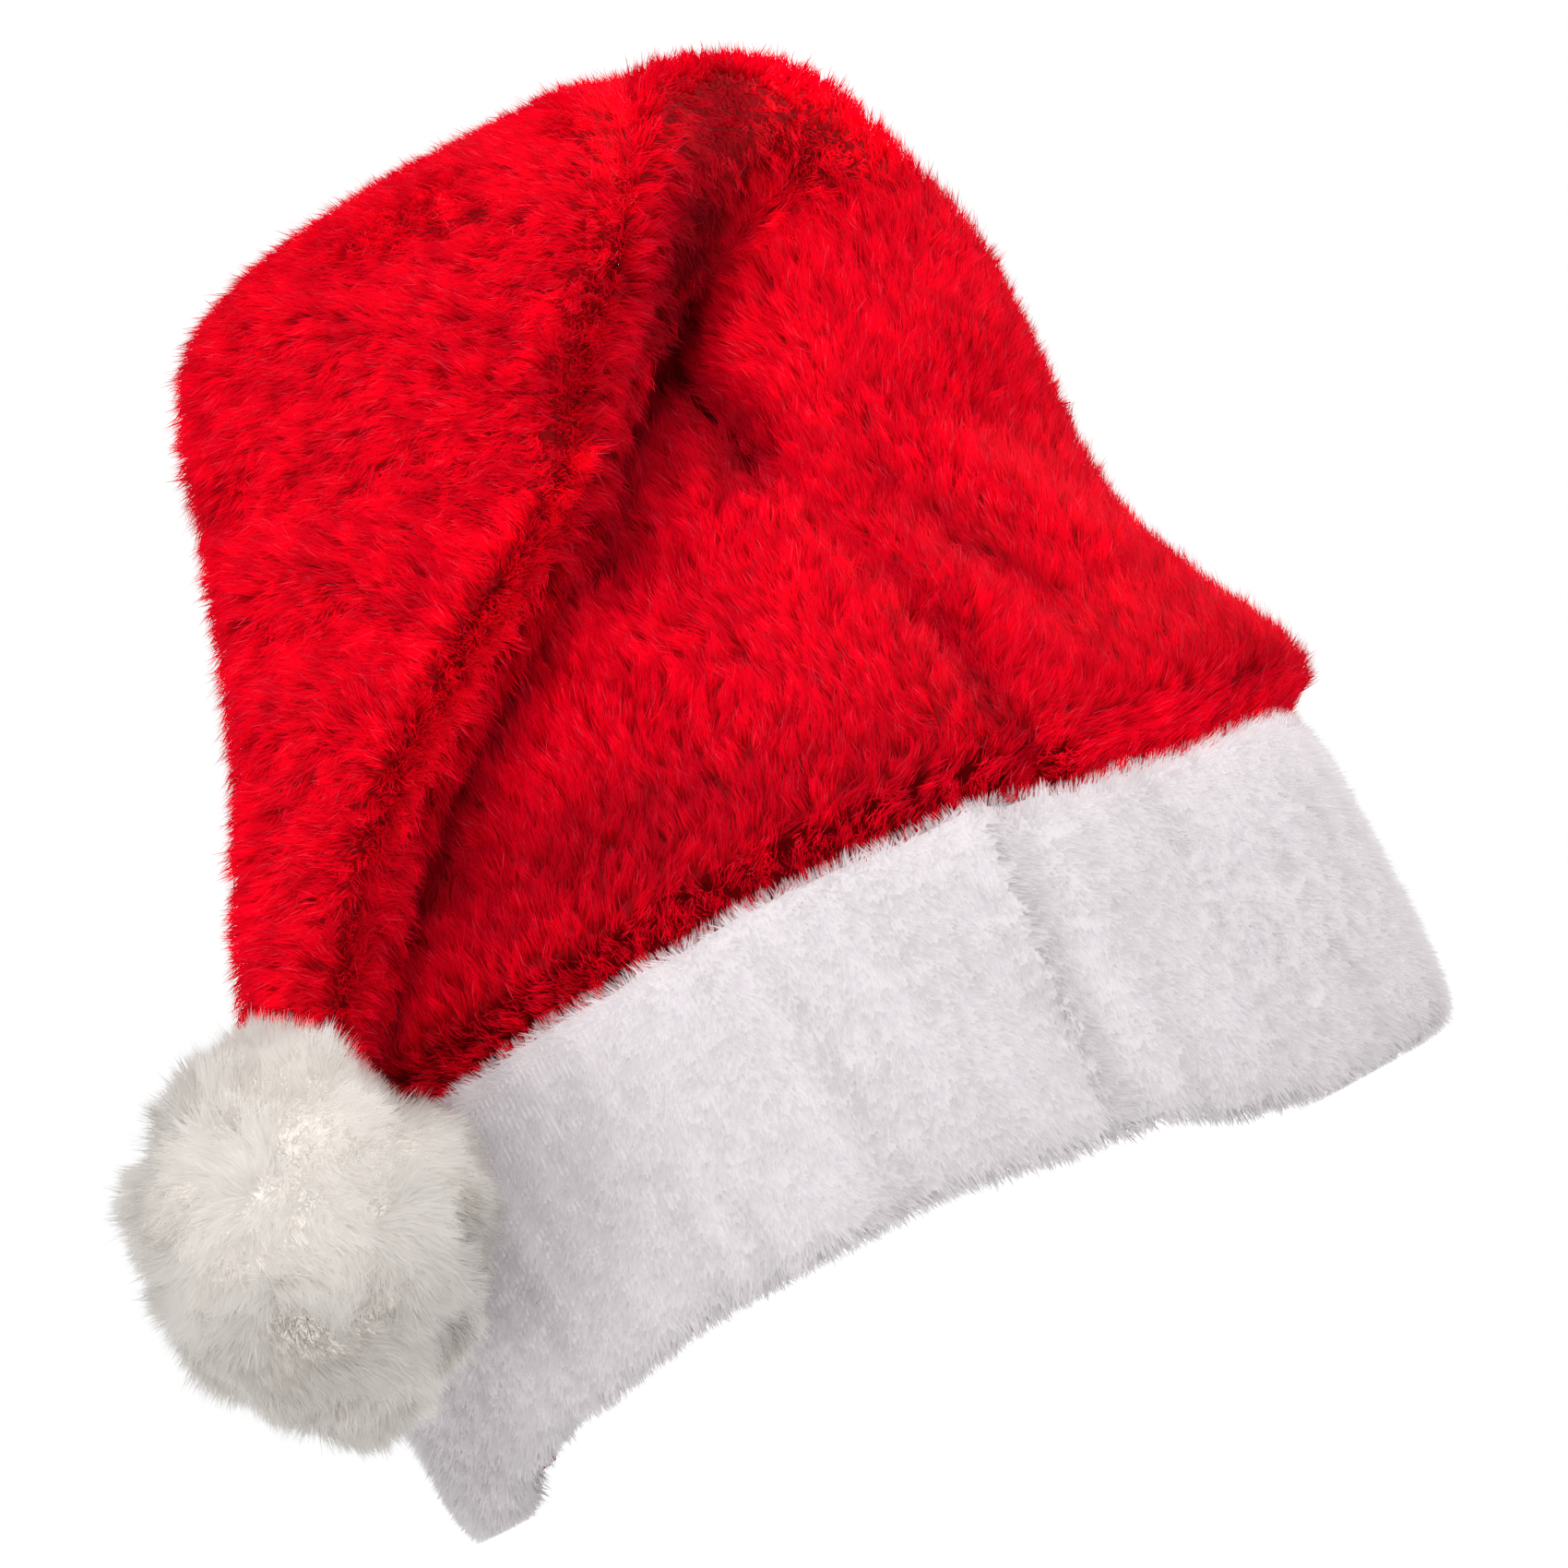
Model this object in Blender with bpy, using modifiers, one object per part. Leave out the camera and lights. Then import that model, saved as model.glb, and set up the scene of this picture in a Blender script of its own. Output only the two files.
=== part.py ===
"""A plush santa hat that rests on its rim: two crown panels, a cuff and a pompom.

The tables hold millimetres and degrees, and points turn to metres when a mesh is made.
X runs to the hat's right, Y to its back and Z up. The tables' middle is the middle of the
rim, and RIM_MIDDLE moves it so that the whole hat is centred over the origin.
An angle round the hat is 0 at the front and grows towards the right.
"""

import math
from typing import NamedTuple

import bmesh
import bpy
import numpy as np

MM = 0.001

# The rim's middle, from the middle of the whole hat's box
RIM_MIDDLE = (12.0, 19.5, 0.0)

# The cuff
CUFF_WIDE = 122.0
CUFF_DEEP = 102.0
CUFF_THICK = 13.0
CUFF_TALL = 74.0
CUFF_ROUNDING = 3.4
CUFF_STATIONS = 56
CUFF_PROFILE = 16
CUFF_SEAM_LOW = 23.5
CUFF_SEAM_HIGH = 28.0
CUFF_SEAM_WIDE = 7.0
CUFF_SEAM_DEEP = 3.0
CUFF_CROWDING = 0.35

# The crown
WALL = 4.5
SEAM_GAP = 0.4
SEAM_WIDE = 10.0
SEAM_DEEP = 3.5
SEAM_SHARE = 0.16
PANEL_COLUMNS = 20
COLUMN_CROWDING = 0.6
ROWS_IN_CUFF = 2
RIM_FADE_LOW = 84.0
RIM_FADE_HIGH = 150.0
BODY_TURN = 40.0

# The pompom
POMPOM_MIDDLE = (-112.5, -101.5, 74.0)
POMPOM_DEEP = 38.0
POMPOM_POINTS = 1050
LOCK_COUNT = 130
LOCK_TIP = 2.4
LOCK_VALLEY = 2.6
LOCK_REACH = 7.5
LOCK_JITTER = 0.07
LOCK_SEED = 12
SOCKET_CLEARANCE = 0.6
SOCKET_ROWS = 4
SOCKET_REACH = 2.5


class Rim(NamedTuple):
    """How the cuff stands at one angle: its bottom edge's height and its extra height."""

    angle: float
    lift: float
    rise: float


class Section(NamedTuple):
    """One ring of the crown: its middle, half sizes, turn over the fold, lean and seams.

    Its power is 2 for an ellipse and more for a squarer ring.
    """

    x: float
    y: float
    z: float
    wide: float
    deep: float
    tilt: float
    swing: float
    power: float
    seam_right: float
    seam_back: float


class Dent(NamedTuple):
    """A soft hollow in the body, or a swelling where the depth is negative."""

    angle: float
    height: float
    spread: float
    tall: float
    deep: float


class Lobe(NamedTuple):
    """How far the pompom reaches in one direction, clockwise from up, seen from the front."""

    angle: float
    reach: float


RIM = (
    Rim(-180.0, 21.0, 0.0),
    Rim(-157.0, 20.5, 0.0),
    Rim(-134.0, 16.5, 0.0),
    Rim(-119.0, 10.5, 0.0),
    Rim(-108.0, 0.0, 0.0),
    Rim(-69.0, 0.0, 0.0),
    Rim(-58.0, 9.0, -1.0),
    Rim(-45.0, 14.5, -2.0),
    Rim(-21.0, 20.0, -4.0),
    Rim(0.0, 19.5, -2.0),
    Rim(21.0, 14.0, 1.0),
    Rim(39.0, 4.0, 4.0),
    Rim(50.0, 0.0, 5.0),
    Rim(64.0, 0.0, 4.5),
    Rim(90.0, 3.0, -1.0),
    Rim(116.0, 0.0, 0.0),
    Rim(130.0, 0.0, 0.0),
    Rim(158.0, 15.5, 0.0),
    Rim(180.0, 21.0, 0.0),
)

SECTIONS = (
    Section(0.0, 0.0, 8.0, 108.0, 88.0, 0.0, 0.0, 2.0, 24.0, 200.0),
    Section(0.0, 0.0, 36.0, 108.0, 88.0, 0.0, 0.0, 2.0, 26.5, 200.0),
    Section(0.0, 0.0, 63.0, 108.0, 88.0, 0.0, 0.0, 2.0, 29.0, 200.0),
    Section(0.5, 0.0, 76.0, 113.0, 93.0, 0.0, 0.0, 2.0, 31.0, 200.0),
    Section(1.0, 0.0, 80.5, 122.0, 100.5, 0.0, 0.0, 2.0, 32.0, 200.0),
    Section(1.5, 0.5, 88.0, 124.0, 102.0, 0.0, 0.0, 2.0, 33.0, 200.0),
    Section(2.0, 2.0, 111.0, 113.0, 91.5, 0.0, 0.0, 2.0, 32.5, 199.0),
    Section(5.0, 5.5, 138.0, 102.5, 76.0, 0.0, 0.0, 2.0, 29.5, 197.0),
    Section(10.5, 10.5, 162.0, 97.5, 62.0, 0.0, 0.0, 2.0, 22.0, 193.0),
    Section(15.0, 15.0, 183.0, 93.5, 48.0, 0.0, 0.0, 2.1, 15.5, 188.0),
    Section(17.0, 18.0, 201.0, 91.5, 37.0, 0.0, 0.0, 2.2, 12.0, 182.0),
    Section(18.0, 20.0, 218.0, 87.0, 29.0, 0.0, 0.0, 2.3, 8.0, 175.0),
    Section(17.0, 9.5, 239.0, 80.0, 26.0, 45.0, 0.0, 2.4, 4.0, 163.0),
    Section(14.0, -12.0, 245.5, 69.5, 23.0, 90.0, 0.0, 2.4, 0.0, 148.0),
    Section(1.5, -30.0, 236.0, 61.0, 22.0, 135.0, 8.0, 2.3, -10.0, 136.0),
    Section(-16.8, -38.0, 217.0, 50.0, 21.0, 172.0, 16.0, 2.2, -20.0, 126.0),
    Section(-31.0, -48.0, 195.0, 42.3, 19.0, 170.0, 25.0, 2.2, -28.0, 122.0),
    Section(-44.0, -55.0, 180.5, 34.0, 17.5, 168.0, 27.0, 2.2, -34.0, 124.0),
    Section(-56.0, -62.0, 166.5, 27.4, 16.5, 166.0, 30.0, 2.1, -38.0, 127.0),
    Section(-69.0, -69.5, 150.5, 21.2, 15.5, 164.0, 33.0, 2.0, -40.0, 130.0),
    Section(-79.2, -76.0, 135.5, 18.6, 14.5, 162.0, 36.0, 2.0, -40.0, 132.0),
    Section(-90.0, -82.0, 118.0, 15.8, 13.5, 160.0, 36.0, 2.0, -40.0, 132.0),
    Section(-98.0, -87.5, 105.0, 12.0, 11.0, 156.0, 34.0, 2.0, -40.0, 132.0),
    Section(-103.5, -91.5, 94.0, 10.0, 9.5, 152.0, 30.0, 2.0, -40.0, 132.0),
)

DENTS = (
    Dent(46.0, 182.0, 17.0, 13.0, -3.5),
    Dent(62.0, 158.0, 26.0, 12.0, 3.5),
    Dent(-8.0, 168.0, 16.0, 20.0, 2.5),
    Dent(8.0, 140.0, 12.0, 22.0, -2.5),
    Dent(-36.0, 152.0, 20.0, 34.0, 3.0),
    Dent(-150.0, 150.0, 30.0, 24.0, 3.0),
    Dent(110.0, 130.0, 24.0, 16.0, 3.0),
)

LOBES = (
    Lobe(-152.0, 38.5),
    Lobe(-130.0, 38.5),
    Lobe(-108.0, 38.0),
    Lobe(-80.0, 33.0),
    Lobe(-58.0, 37.0),
    Lobe(-35.0, 36.5),
    Lobe(-10.0, 41.0),
    Lobe(10.0, 43.0),
    Lobe(28.0, 40.0),
    Lobe(45.0, 34.0),
    Lobe(62.0, 30.0),
    Lobe(84.0, 39.0),
    Lobe(106.0, 36.5),
    Lobe(132.0, 36.5),
    Lobe(168.0, 39.8),
    Lobe(186.0, 43.0),
    Lobe(208.0, 38.5),
)


def spline(table, places):
    """The table's columns at fractional row numbers, on a curve through its rows."""
    rows = np.array(table, float)
    last = len(rows) - 1
    padded = np.vstack([2 * rows[0] - rows[1], rows, 2 * rows[-1] - rows[-2]])
    row = np.clip(places.astype(int), 0, last - 1)
    t = (places - row)[:, None]
    before, here, after, beyond = (padded[row + step] for step in range(4))
    return (
        here
        + 0.5 * t * (after - before)
        + t**2 * (before - 2.5 * here + 2 * after - 0.5 * beyond)
        + 0.5 * t**3 * (3 * (here - after) + beyond - before)
    )


def smooth_step(share):
    """0 below 0, 1 above 1 and an S curve between."""
    share = np.clip(share, 0.0, 1.0)
    return share * share * (3 - 2 * share)


def crowded(even, amount):
    """Places from 0 to 1 drawn closer together at both ends."""
    return even - amount * np.sin(2 * np.pi * even) / (2 * np.pi)


def rim_values(angle):
    """The rim's lift and extra height at each angle."""
    angles, lifts, rises = np.array(RIM).T
    turned = (np.asarray(angle) + 180.0) % 360.0 - 180.0
    index = np.clip(np.searchsorted(angles, turned, side="right") - 1, 0, len(RIM) - 2)
    share = smooth_step((turned - angles[index]) / (angles[index + 1] - angles[index]))
    lift = lifts[index] + share * (lifts[index + 1] - lifts[index])
    rise = rises[index] + share * (rises[index + 1] - rises[index])
    return lift, rise


def standing_height(height, angle):
    """A height of the level hat as it stands on its arched rim."""
    lift, rise = rim_values(angle)
    fade = 1 - smooth_step((height - RIM_FADE_LOW) / (RIM_FADE_HIGH - RIM_FADE_LOW))
    return height + fade * (lift + rise * np.clip(height / CUFF_TALL, 0.0, 1.0))


def groove(distance, wide):
    """How much of a seam's depth is reached this far from it."""
    share = np.clip(distance / wide, 0.0, 1.0)
    return (1 - share) ** 2 * (1 + share)


def section_rows():
    """The crown's rings, with one more between each two rows of the table above the cuff."""
    in_cuff = np.arange(0.0, ROWS_IN_CUFF)
    above = np.arange(2 * ROWS_IN_CUFF, 2 * len(SECTIONS) - 1) / 2
    return spline(SECTIONS, np.concatenate([in_cuff, above]))


def bent(wave, power):
    """A sine or cosine with its size raised to a power and its sign kept."""
    return (np.sign(wave) * np.abs(wave) ** power)[:, None]


def ring(row, angle):
    """A crown section's points and outward directions at angles round it."""
    x, y, z, wide, deep, tilt, swing, power = row[:8]
    tilt, swing, turn = math.radians(tilt), math.radians(swing), np.radians(angle)
    across = np.array([math.cos(swing), 0.0, -math.sin(swing)])
    front = np.array(
        [
            -math.sin(tilt) * math.sin(swing),
            -math.cos(tilt),
            -math.sin(tilt) * math.cos(swing),
        ]
    )
    sine, cosine = np.sin(turn), np.cos(turn)
    points = np.array([x, y, z]) + wide * bent(sine, 2 / power) * across
    points += deep * bent(cosine, 2 / power) * front
    slope = 2 - 2 / power
    outward = bent(sine, slope) / wide * across + bent(cosine, slope) / deep * front
    outward /= np.linalg.norm(outward, axis=1)[:, None]
    return points, outward


def dented(points, outward, angle, share):
    """The body's points moved in by its dents, where share of the body is left."""
    depth = np.zeros(len(points))
    for dent in DENTS:
        turn = (angle - dent.angle + 180.0) % 360.0 - 180.0
        away = (turn / dent.spread) ** 2 + ((points[:, 2] - dent.height) / dent.tall) ** 2
        depth += dent.deep * np.exp(-away)
    return points - outward * (depth * share)[:, None]


def panel_ring(row, start, end):
    """One panel's points on one ring, from the seam at start to the seam at end."""
    even = np.linspace(0.0, 1.0, PANEL_COLUMNS + 1)
    wide, deep = row[3], row[4]
    edges = np.radians([start, end])
    per_degree = np.radians(np.hypot(wide * np.cos(edges), deep * np.sin(edges)))
    first, last = start + SEAM_GAP / 2 / per_degree[0], end - SEAM_GAP / 2 / per_degree[1]
    angle = first + (last - first) * crowded(even, COLUMN_CROWDING)
    points, outward = ring(row, angle)
    on_body = 1 - smooth_step(row[5] / BODY_TURN)
    points = dented(points, outward, angle, on_body)
    steps = np.linalg.norm(np.diff(points, axis=0), axis=1)
    along = np.concatenate([[0.0], np.cumsum(steps)])
    near = np.minimum(along, along[-1] - along)
    size = min(1.0, along[-1] * SEAM_SHARE / SEAM_WIDE)
    points -= outward * (SEAM_DEEP * size * groove(near, SEAM_WIDE * size))[:, None]
    if on_body > 0:
        points[:, 2] = standing_height(points[:, 2], angle)
    return points


def to_metres(points):
    """Table points in metres, centred over the origin."""
    return (np.asarray(points) + np.array(RIM_MIDDLE)) * MM


def material(name, colour, roughness):
    """A cloth material with its colour in linear light."""
    made = bpy.data.materials.new(name)
    made.use_nodes = True
    shader = made.node_tree.nodes["Principled BSDF"]
    shader.inputs["Base Color"].default_value = (*colour, 1.0)
    shader.inputs["Roughness"].default_value = roughness
    shader.inputs["Metallic"].default_value = 0.0
    return made


def new_object(name, bm, collection, cloth=None):
    """An object made from a bmesh, shaded smooth, in its collection."""
    bmesh.ops.recalc_face_normals(bm, faces=bm.faces)
    mesh = bpy.data.meshes.new(name)
    bm.to_mesh(mesh)
    bm.free()
    mesh.shade_smooth()
    if cloth:
        mesh.materials.append(cloth)
    made = bpy.data.objects.new(name, mesh)
    collection.objects.link(made)
    return made


def lofted(rows, closed_around=False, closed_along=False):
    """A bmesh of quads between rows of points, each as long as the others."""
    bm = bmesh.new()
    grid = [[bm.verts.new(point) for point in row] for row in rows]
    height, width = len(grid), len(grid[0])
    for i in range(height if closed_along else height - 1):
        low, high = grid[i], grid[(i + 1) % height]
        for j in range(width if closed_around else width - 1):
            k = (j + 1) % width
            bm.faces.new((low[j], low[k], high[k], high[j]))
    return bm, grid


def make_panel(name, start_column, end_column, end_turn, collection, cloth):
    """A crown panel: the open loft between its two seams, made a wall by Solidify."""
    rows = []
    for row in section_rows():
        start, end = row[start_column], row[end_column] + end_turn
        rows.append(to_metres(panel_ring(row, start, end)))
    bm, _ = lofted(rows)
    panel = new_object(name, bm, collection, cloth)
    wall = panel.modifiers.new("cloth wall", "SOLIDIFY")
    wall.thickness = WALL * MM
    wall.offset = -1.0
    wall.use_even_offset = False
    return panel


def cuff_profile(angle):
    """The cuff's cross-section at one angle, as points from its middle line."""
    turn = np.linspace(0.0, 2 * np.pi, CUFF_PROFILE, endpoint=False) + np.pi / CUFF_PROFILE
    power = 2.0 / CUFF_ROUNDING
    out = np.sign(np.cos(turn)) * np.abs(np.cos(turn)) ** power * CUFF_THICK / 2
    up = np.sign(np.sin(turn)) * np.abs(np.sin(turn)) ** power
    up = up / np.abs(up).max() * CUFF_TALL / 2
    seam = CUFF_SEAM_LOW + (CUFF_SEAM_HIGH - CUFF_SEAM_LOW) * (up / CUFF_TALL + 0.5)
    away = np.radians(np.abs(angle - seam)) * CUFF_WIDE
    out -= np.where(out > 0, CUFF_SEAM_DEEP * groove(away, CUFF_SEAM_WIDE), 0.0)
    return out, up + CUFF_TALL / 2


def cuff_angles():
    """The cuff's stations, evenly spaced but closer at its seam."""
    middle = (CUFF_SEAM_LOW + CUFF_SEAM_HIGH) / 2
    even = np.linspace(0.0, 1.0, CUFF_STATIONS, endpoint=False)
    return middle + 360.0 * crowded(even, CUFF_CROWDING)


def make_cuff(collection, cloth):
    """The cuff as a closed ring of one rounded profile that follows the rim."""
    rows = []
    for angle in cuff_angles():
        out, up = cuff_profile(angle)
        turn = math.radians(angle)
        wide = CUFF_WIDE - CUFF_THICK / 2 + out
        deep = CUFF_DEEP - CUFF_THICK / 2 + out
        height = standing_height(up, np.full(len(up), angle))
        points = np.column_stack([wide * math.sin(turn), -deep * math.cos(turn), height])
        rows.append(to_metres(points))
    bm, _ = lofted(rows, closed_around=True, closed_along=True)
    return new_object("cuff", bm, collection, cloth)


def sphere_directions(count):
    """Directions spread evenly over a sphere."""
    index = np.arange(count) + 0.5
    up = 1 - 2 * index / count
    turn = np.pi * (1 + math.sqrt(5)) * index
    level = np.sqrt(1 - up**2)
    return np.column_stack([level * np.cos(turn), level * np.sin(turn), up])


def pompom_radius(direction):
    """The pompom's reach in each direction, from its lobes and its depth."""
    lobes = np.array(LOBES)
    angle = np.degrees(np.arctan2(direction[:, 0], direction[:, 2]))
    angle = np.where(angle < lobes[0, 0], angle + 360.0, angle)
    index = np.clip(np.searchsorted(lobes[:, 0], angle, side="right") - 1, 0, len(lobes) - 2)
    share = (angle - lobes[index, 0]) / (lobes[index + 1, 0] - lobes[index, 0])
    reach = lobes[index, 1] + smooth_step(share) * (lobes[index + 1, 1] - lobes[index, 1])
    level = np.abs(direction[:, 1])
    return reach + (POMPOM_DEEP - reach) * smooth_step(level)


def pompom_points(direction):
    """The pompom's surface: each point goes out at its lock's tip and in between locks."""
    locks = sphere_directions(LOCK_COUNT)
    locks += np.random.default_rng(LOCK_SEED).normal(0.0, LOCK_JITTER, locks.shape)
    locks /= np.linalg.norm(locks, axis=1)[:, None]
    radius = pompom_radius(direction)
    apart = np.linalg.norm(direction[:, None] - locks[None], axis=2).min(axis=1) * radius
    lock_share = smooth_step(1 - apart / LOCK_REACH)
    radius = radius - LOCK_VALLEY + (LOCK_TIP + LOCK_VALLEY) * lock_share
    return np.array(POMPOM_MIDDLE) + direction * radius[:, None]


def make_socket(collection):
    """The cutter for the hole that the tail's tip goes into."""
    rows = []
    angle = np.linspace(0.0, 360.0, PANEL_COLUMNS, endpoint=False)
    tip = len(SECTIONS) - 1
    for row in spline(SECTIONS, np.linspace(tip - SOCKET_REACH, tip, SOCKET_ROWS)):
        row[3:5] += SOCKET_CLEARANCE
        rows.append(ring(row, angle)[0])
    deeper = rows[-1].mean(axis=0) - rows[-2].mean(axis=0)
    rows[-1] += SOCKET_CLEARANCE * deeper / np.linalg.norm(deeper)
    bm, grid = lofted([to_metres(row) for row in rows], closed_around=True)
    bm.faces.new(grid[0])
    bm.faces.new(grid[-1])
    socket = new_object("tip socket", bm, collection)
    socket.hide_render = True
    socket.display_type = "WIRE"
    return socket


def make_pompom(collection, cutters, cloth):
    """The pompom's locks as one solid, with the socket cut into it."""
    direction = sphere_directions(POMPOM_POINTS)
    bm = bmesh.new()
    ball = [bm.verts.new(point) for point in direction]
    bmesh.ops.convex_hull(bm, input=ball)
    for vertex, point in zip(ball, to_metres(pompom_points(direction))):
        vertex.co = point
    pompom = new_object("pompom", bm, collection, cloth)
    cut = pompom.modifiers.new("tip socket", "BOOLEAN")
    cut.operation = "DIFFERENCE"
    cut.solver = "EXACT"
    cut.object = make_socket(cutters)
    return pompom


def main():
    """Clear the scene and build the hat."""
    for old in list(bpy.data.objects):
        bpy.data.objects.remove(old)
    hat = bpy.data.collections.new("santa_hat")
    cutters = bpy.data.collections.new("cutters")
    for collection in (hat, cutters):
        bpy.context.scene.collection.children.link(collection)
    red_left = material("red_plush_left", (0.62, 0.002, 0.012), 0.9)
    red_right = material("red_plush_right", (0.6, 0.002, 0.012), 0.9)
    white_cuff = material("white_plush", (0.74, 0.72, 0.73), 0.9)
    white_pompom = material("white_pompom_pile", (0.75, 0.73, 0.7), 0.9)
    seam_right = Section._fields.index("seam_right")
    seam_back = Section._fields.index("seam_back")
    make_panel("crown_right", seam_right, seam_back, 0.0, hat, red_right)
    make_panel("crown_left", seam_back, seam_right, 360.0, hat, red_left)
    make_cuff(hat, white_cuff)
    make_pompom(hat, cutters, white_pompom)


if __name__ == "__main__":
    main()
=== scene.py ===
"""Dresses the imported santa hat: plush panels, white cuff and pompom in real pile, and the studio.

Tables and sizes are in millimetres and degrees, in the hat's own frame: X to its right, Y to
its back, Z up, with the rim's middle at 0, 0. They turn to metres when a mesh is made.
"""

import logging
import math
from dataclasses import dataclass
from enum import Enum
from typing import NamedTuple

import bpy
import numpy as np
from mathutils import Matrix, Vector

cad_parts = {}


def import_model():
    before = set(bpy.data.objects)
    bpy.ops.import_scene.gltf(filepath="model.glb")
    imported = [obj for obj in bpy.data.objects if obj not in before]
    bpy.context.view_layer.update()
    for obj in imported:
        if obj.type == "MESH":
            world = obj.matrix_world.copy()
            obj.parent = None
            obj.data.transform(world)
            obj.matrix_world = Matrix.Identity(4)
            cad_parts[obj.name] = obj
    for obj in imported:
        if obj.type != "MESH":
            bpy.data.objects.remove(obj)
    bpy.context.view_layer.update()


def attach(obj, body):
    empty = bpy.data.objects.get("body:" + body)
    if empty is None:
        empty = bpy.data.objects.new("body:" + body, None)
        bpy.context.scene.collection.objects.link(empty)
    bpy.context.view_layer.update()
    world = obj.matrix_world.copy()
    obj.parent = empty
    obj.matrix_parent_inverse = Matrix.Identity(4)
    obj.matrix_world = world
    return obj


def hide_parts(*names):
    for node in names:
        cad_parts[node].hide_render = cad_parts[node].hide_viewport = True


Array = np.ndarray

MM = 0.001
RIM_MIDDLE = (12.0, 19.5, 0.0)  # the rim's middle, from the middle of the whole hat's box
LEVEL = np.array([1.0, 1.0, 0.0])  # what leaves a way its level part alone
FLOOR_CLEARANCE = 0.25
BAKE_MAP = "OFBake"

log = logging.getLogger("santa_hat")


class Rim(NamedTuple):
    """How the cuff stands at one angle: its bottom edge's height and its extra height."""

    angle: float
    lift: float
    rise: float


class Section(NamedTuple):
    """One ring of the crown: its middle, half sizes, turn over the fold, lean and seams."""

    x: float
    y: float
    z: float
    wide: float
    deep: float
    tilt: float
    swing: float
    power: float
    seam_right: float
    seam_back: float


class Dent(NamedTuple):
    """A soft hollow in the body, or a swelling where the depth is negative."""

    angle: float
    height: float
    spread: float
    tall: float
    deep: float


class Lobe(NamedTuple):
    """How far the pompom reaches in one direction, clockwise from up, seen from the front."""

    angle: float
    reach: float


class Fold(NamedTuple):
    """A soft fold on the front, from one end to the other in X and Z.

    deep is how far the cloth is pressed in, or pushed out below 0. shade is painted shade: how much
    darker the pile's colour is made along the fold, and below 0 it is painted light, which makes it
    paler.
    """

    from_x: float
    from_z: float
    to_x: float
    to_z: float
    wide: float
    deep: float
    shade: float


class Nap(NamedTuple):
    """The pile's way at one section, in degrees from the tip's way towards larger angles.

    start and end are beside the panel's two seams, and middle is away from both.
    """

    place: float
    start: float
    middle: float
    end: float


RIM = (
    Rim(-180.0, 21.0, 0.0),
    Rim(-157.0, 20.5, 0.0),
    Rim(-134.0, 16.5, 0.0),
    Rim(-119.0, 10.5, 0.0),
    Rim(-108.0, 0.0, 0.0),
    Rim(-69.0, 0.0, 0.0),
    Rim(-58.0, 9.0, -1.0),
    Rim(-45.0, 14.5, -2.0),
    Rim(-21.0, 20.0, -4.0),
    Rim(0.0, 19.5, -2.0),
    Rim(21.0, 14.0, 1.0),
    Rim(39.0, 4.0, 4.0),
    Rim(50.0, 0.0, 5.0),
    Rim(64.0, 0.0, 4.5),
    Rim(90.0, 3.0, -1.0),
    Rim(116.0, 0.0, 0.0),
    Rim(130.0, 0.0, 0.0),
    Rim(158.0, 15.5, 0.0),
    Rim(180.0, 21.0, 0.0),
)

SECTIONS = (
    Section(0.0, 0.0, 8.0, 108.0, 88.0, 0.0, 0.0, 2.0, 24.0, 200.0),
    Section(0.0, 0.0, 36.0, 108.0, 88.0, 0.0, 0.0, 2.0, 26.5, 200.0),
    Section(0.0, 0.0, 63.0, 108.0, 88.0, 0.0, 0.0, 2.0, 29.0, 200.0),
    Section(0.5, 0.0, 76.0, 113.0, 93.0, 0.0, 0.0, 2.0, 31.0, 200.0),
    Section(1.0, 0.0, 80.5, 122.0, 100.5, 0.0, 0.0, 2.0, 32.0, 200.0),
    Section(1.5, 0.5, 88.0, 124.0, 102.0, 0.0, 0.0, 2.0, 33.0, 200.0),
    Section(2.0, 2.0, 111.0, 113.0, 91.5, 0.0, 0.0, 2.0, 32.5, 199.0),
    Section(5.0, 5.5, 138.0, 102.5, 76.0, 0.0, 0.0, 2.0, 29.5, 197.0),
    Section(10.5, 10.5, 162.0, 97.5, 62.0, 0.0, 0.0, 2.0, 22.0, 193.0),
    Section(15.0, 15.0, 183.0, 93.5, 48.0, 0.0, 0.0, 2.1, 15.5, 188.0),
    Section(17.0, 18.0, 201.0, 91.5, 37.0, 0.0, 0.0, 2.2, 12.0, 182.0),
    Section(18.0, 20.0, 218.0, 87.0, 29.0, 0.0, 0.0, 2.3, 8.0, 175.0),
    Section(17.0, 9.5, 239.0, 80.0, 26.0, 45.0, 0.0, 2.4, 4.0, 163.0),
    Section(14.0, -12.0, 245.5, 69.5, 23.0, 90.0, 0.0, 2.4, 0.0, 148.0),
    Section(1.5, -30.0, 236.0, 61.0, 22.0, 135.0, 8.0, 2.3, -10.0, 136.0),
    Section(-16.8, -38.0, 217.0, 50.0, 21.0, 172.0, 16.0, 2.2, -20.0, 126.0),
    Section(-31.0, -48.0, 195.0, 42.3, 19.0, 170.0, 25.0, 2.2, -28.0, 122.0),
    Section(-44.0, -55.0, 180.5, 34.0, 17.5, 168.0, 27.0, 2.2, -34.0, 124.0),
    Section(-56.0, -62.0, 166.5, 27.4, 16.5, 166.0, 30.0, 2.1, -38.0, 127.0),
    Section(-69.0, -69.5, 150.5, 21.2, 15.5, 164.0, 33.0, 2.0, -40.0, 130.0),
    Section(-79.2, -76.0, 135.5, 18.6, 14.5, 162.0, 36.0, 2.0, -40.0, 132.0),
    Section(-90.0, -82.0, 118.0, 15.8, 13.5, 160.0, 36.0, 2.0, -40.0, 132.0),
    Section(-98.0, -87.5, 105.0, 12.0, 11.0, 156.0, 34.0, 2.0, -40.0, 132.0),
    Section(-103.5, -91.5, 94.0, 10.0, 9.5, 152.0, 30.0, 2.0, -40.0, 132.0),
)

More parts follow.
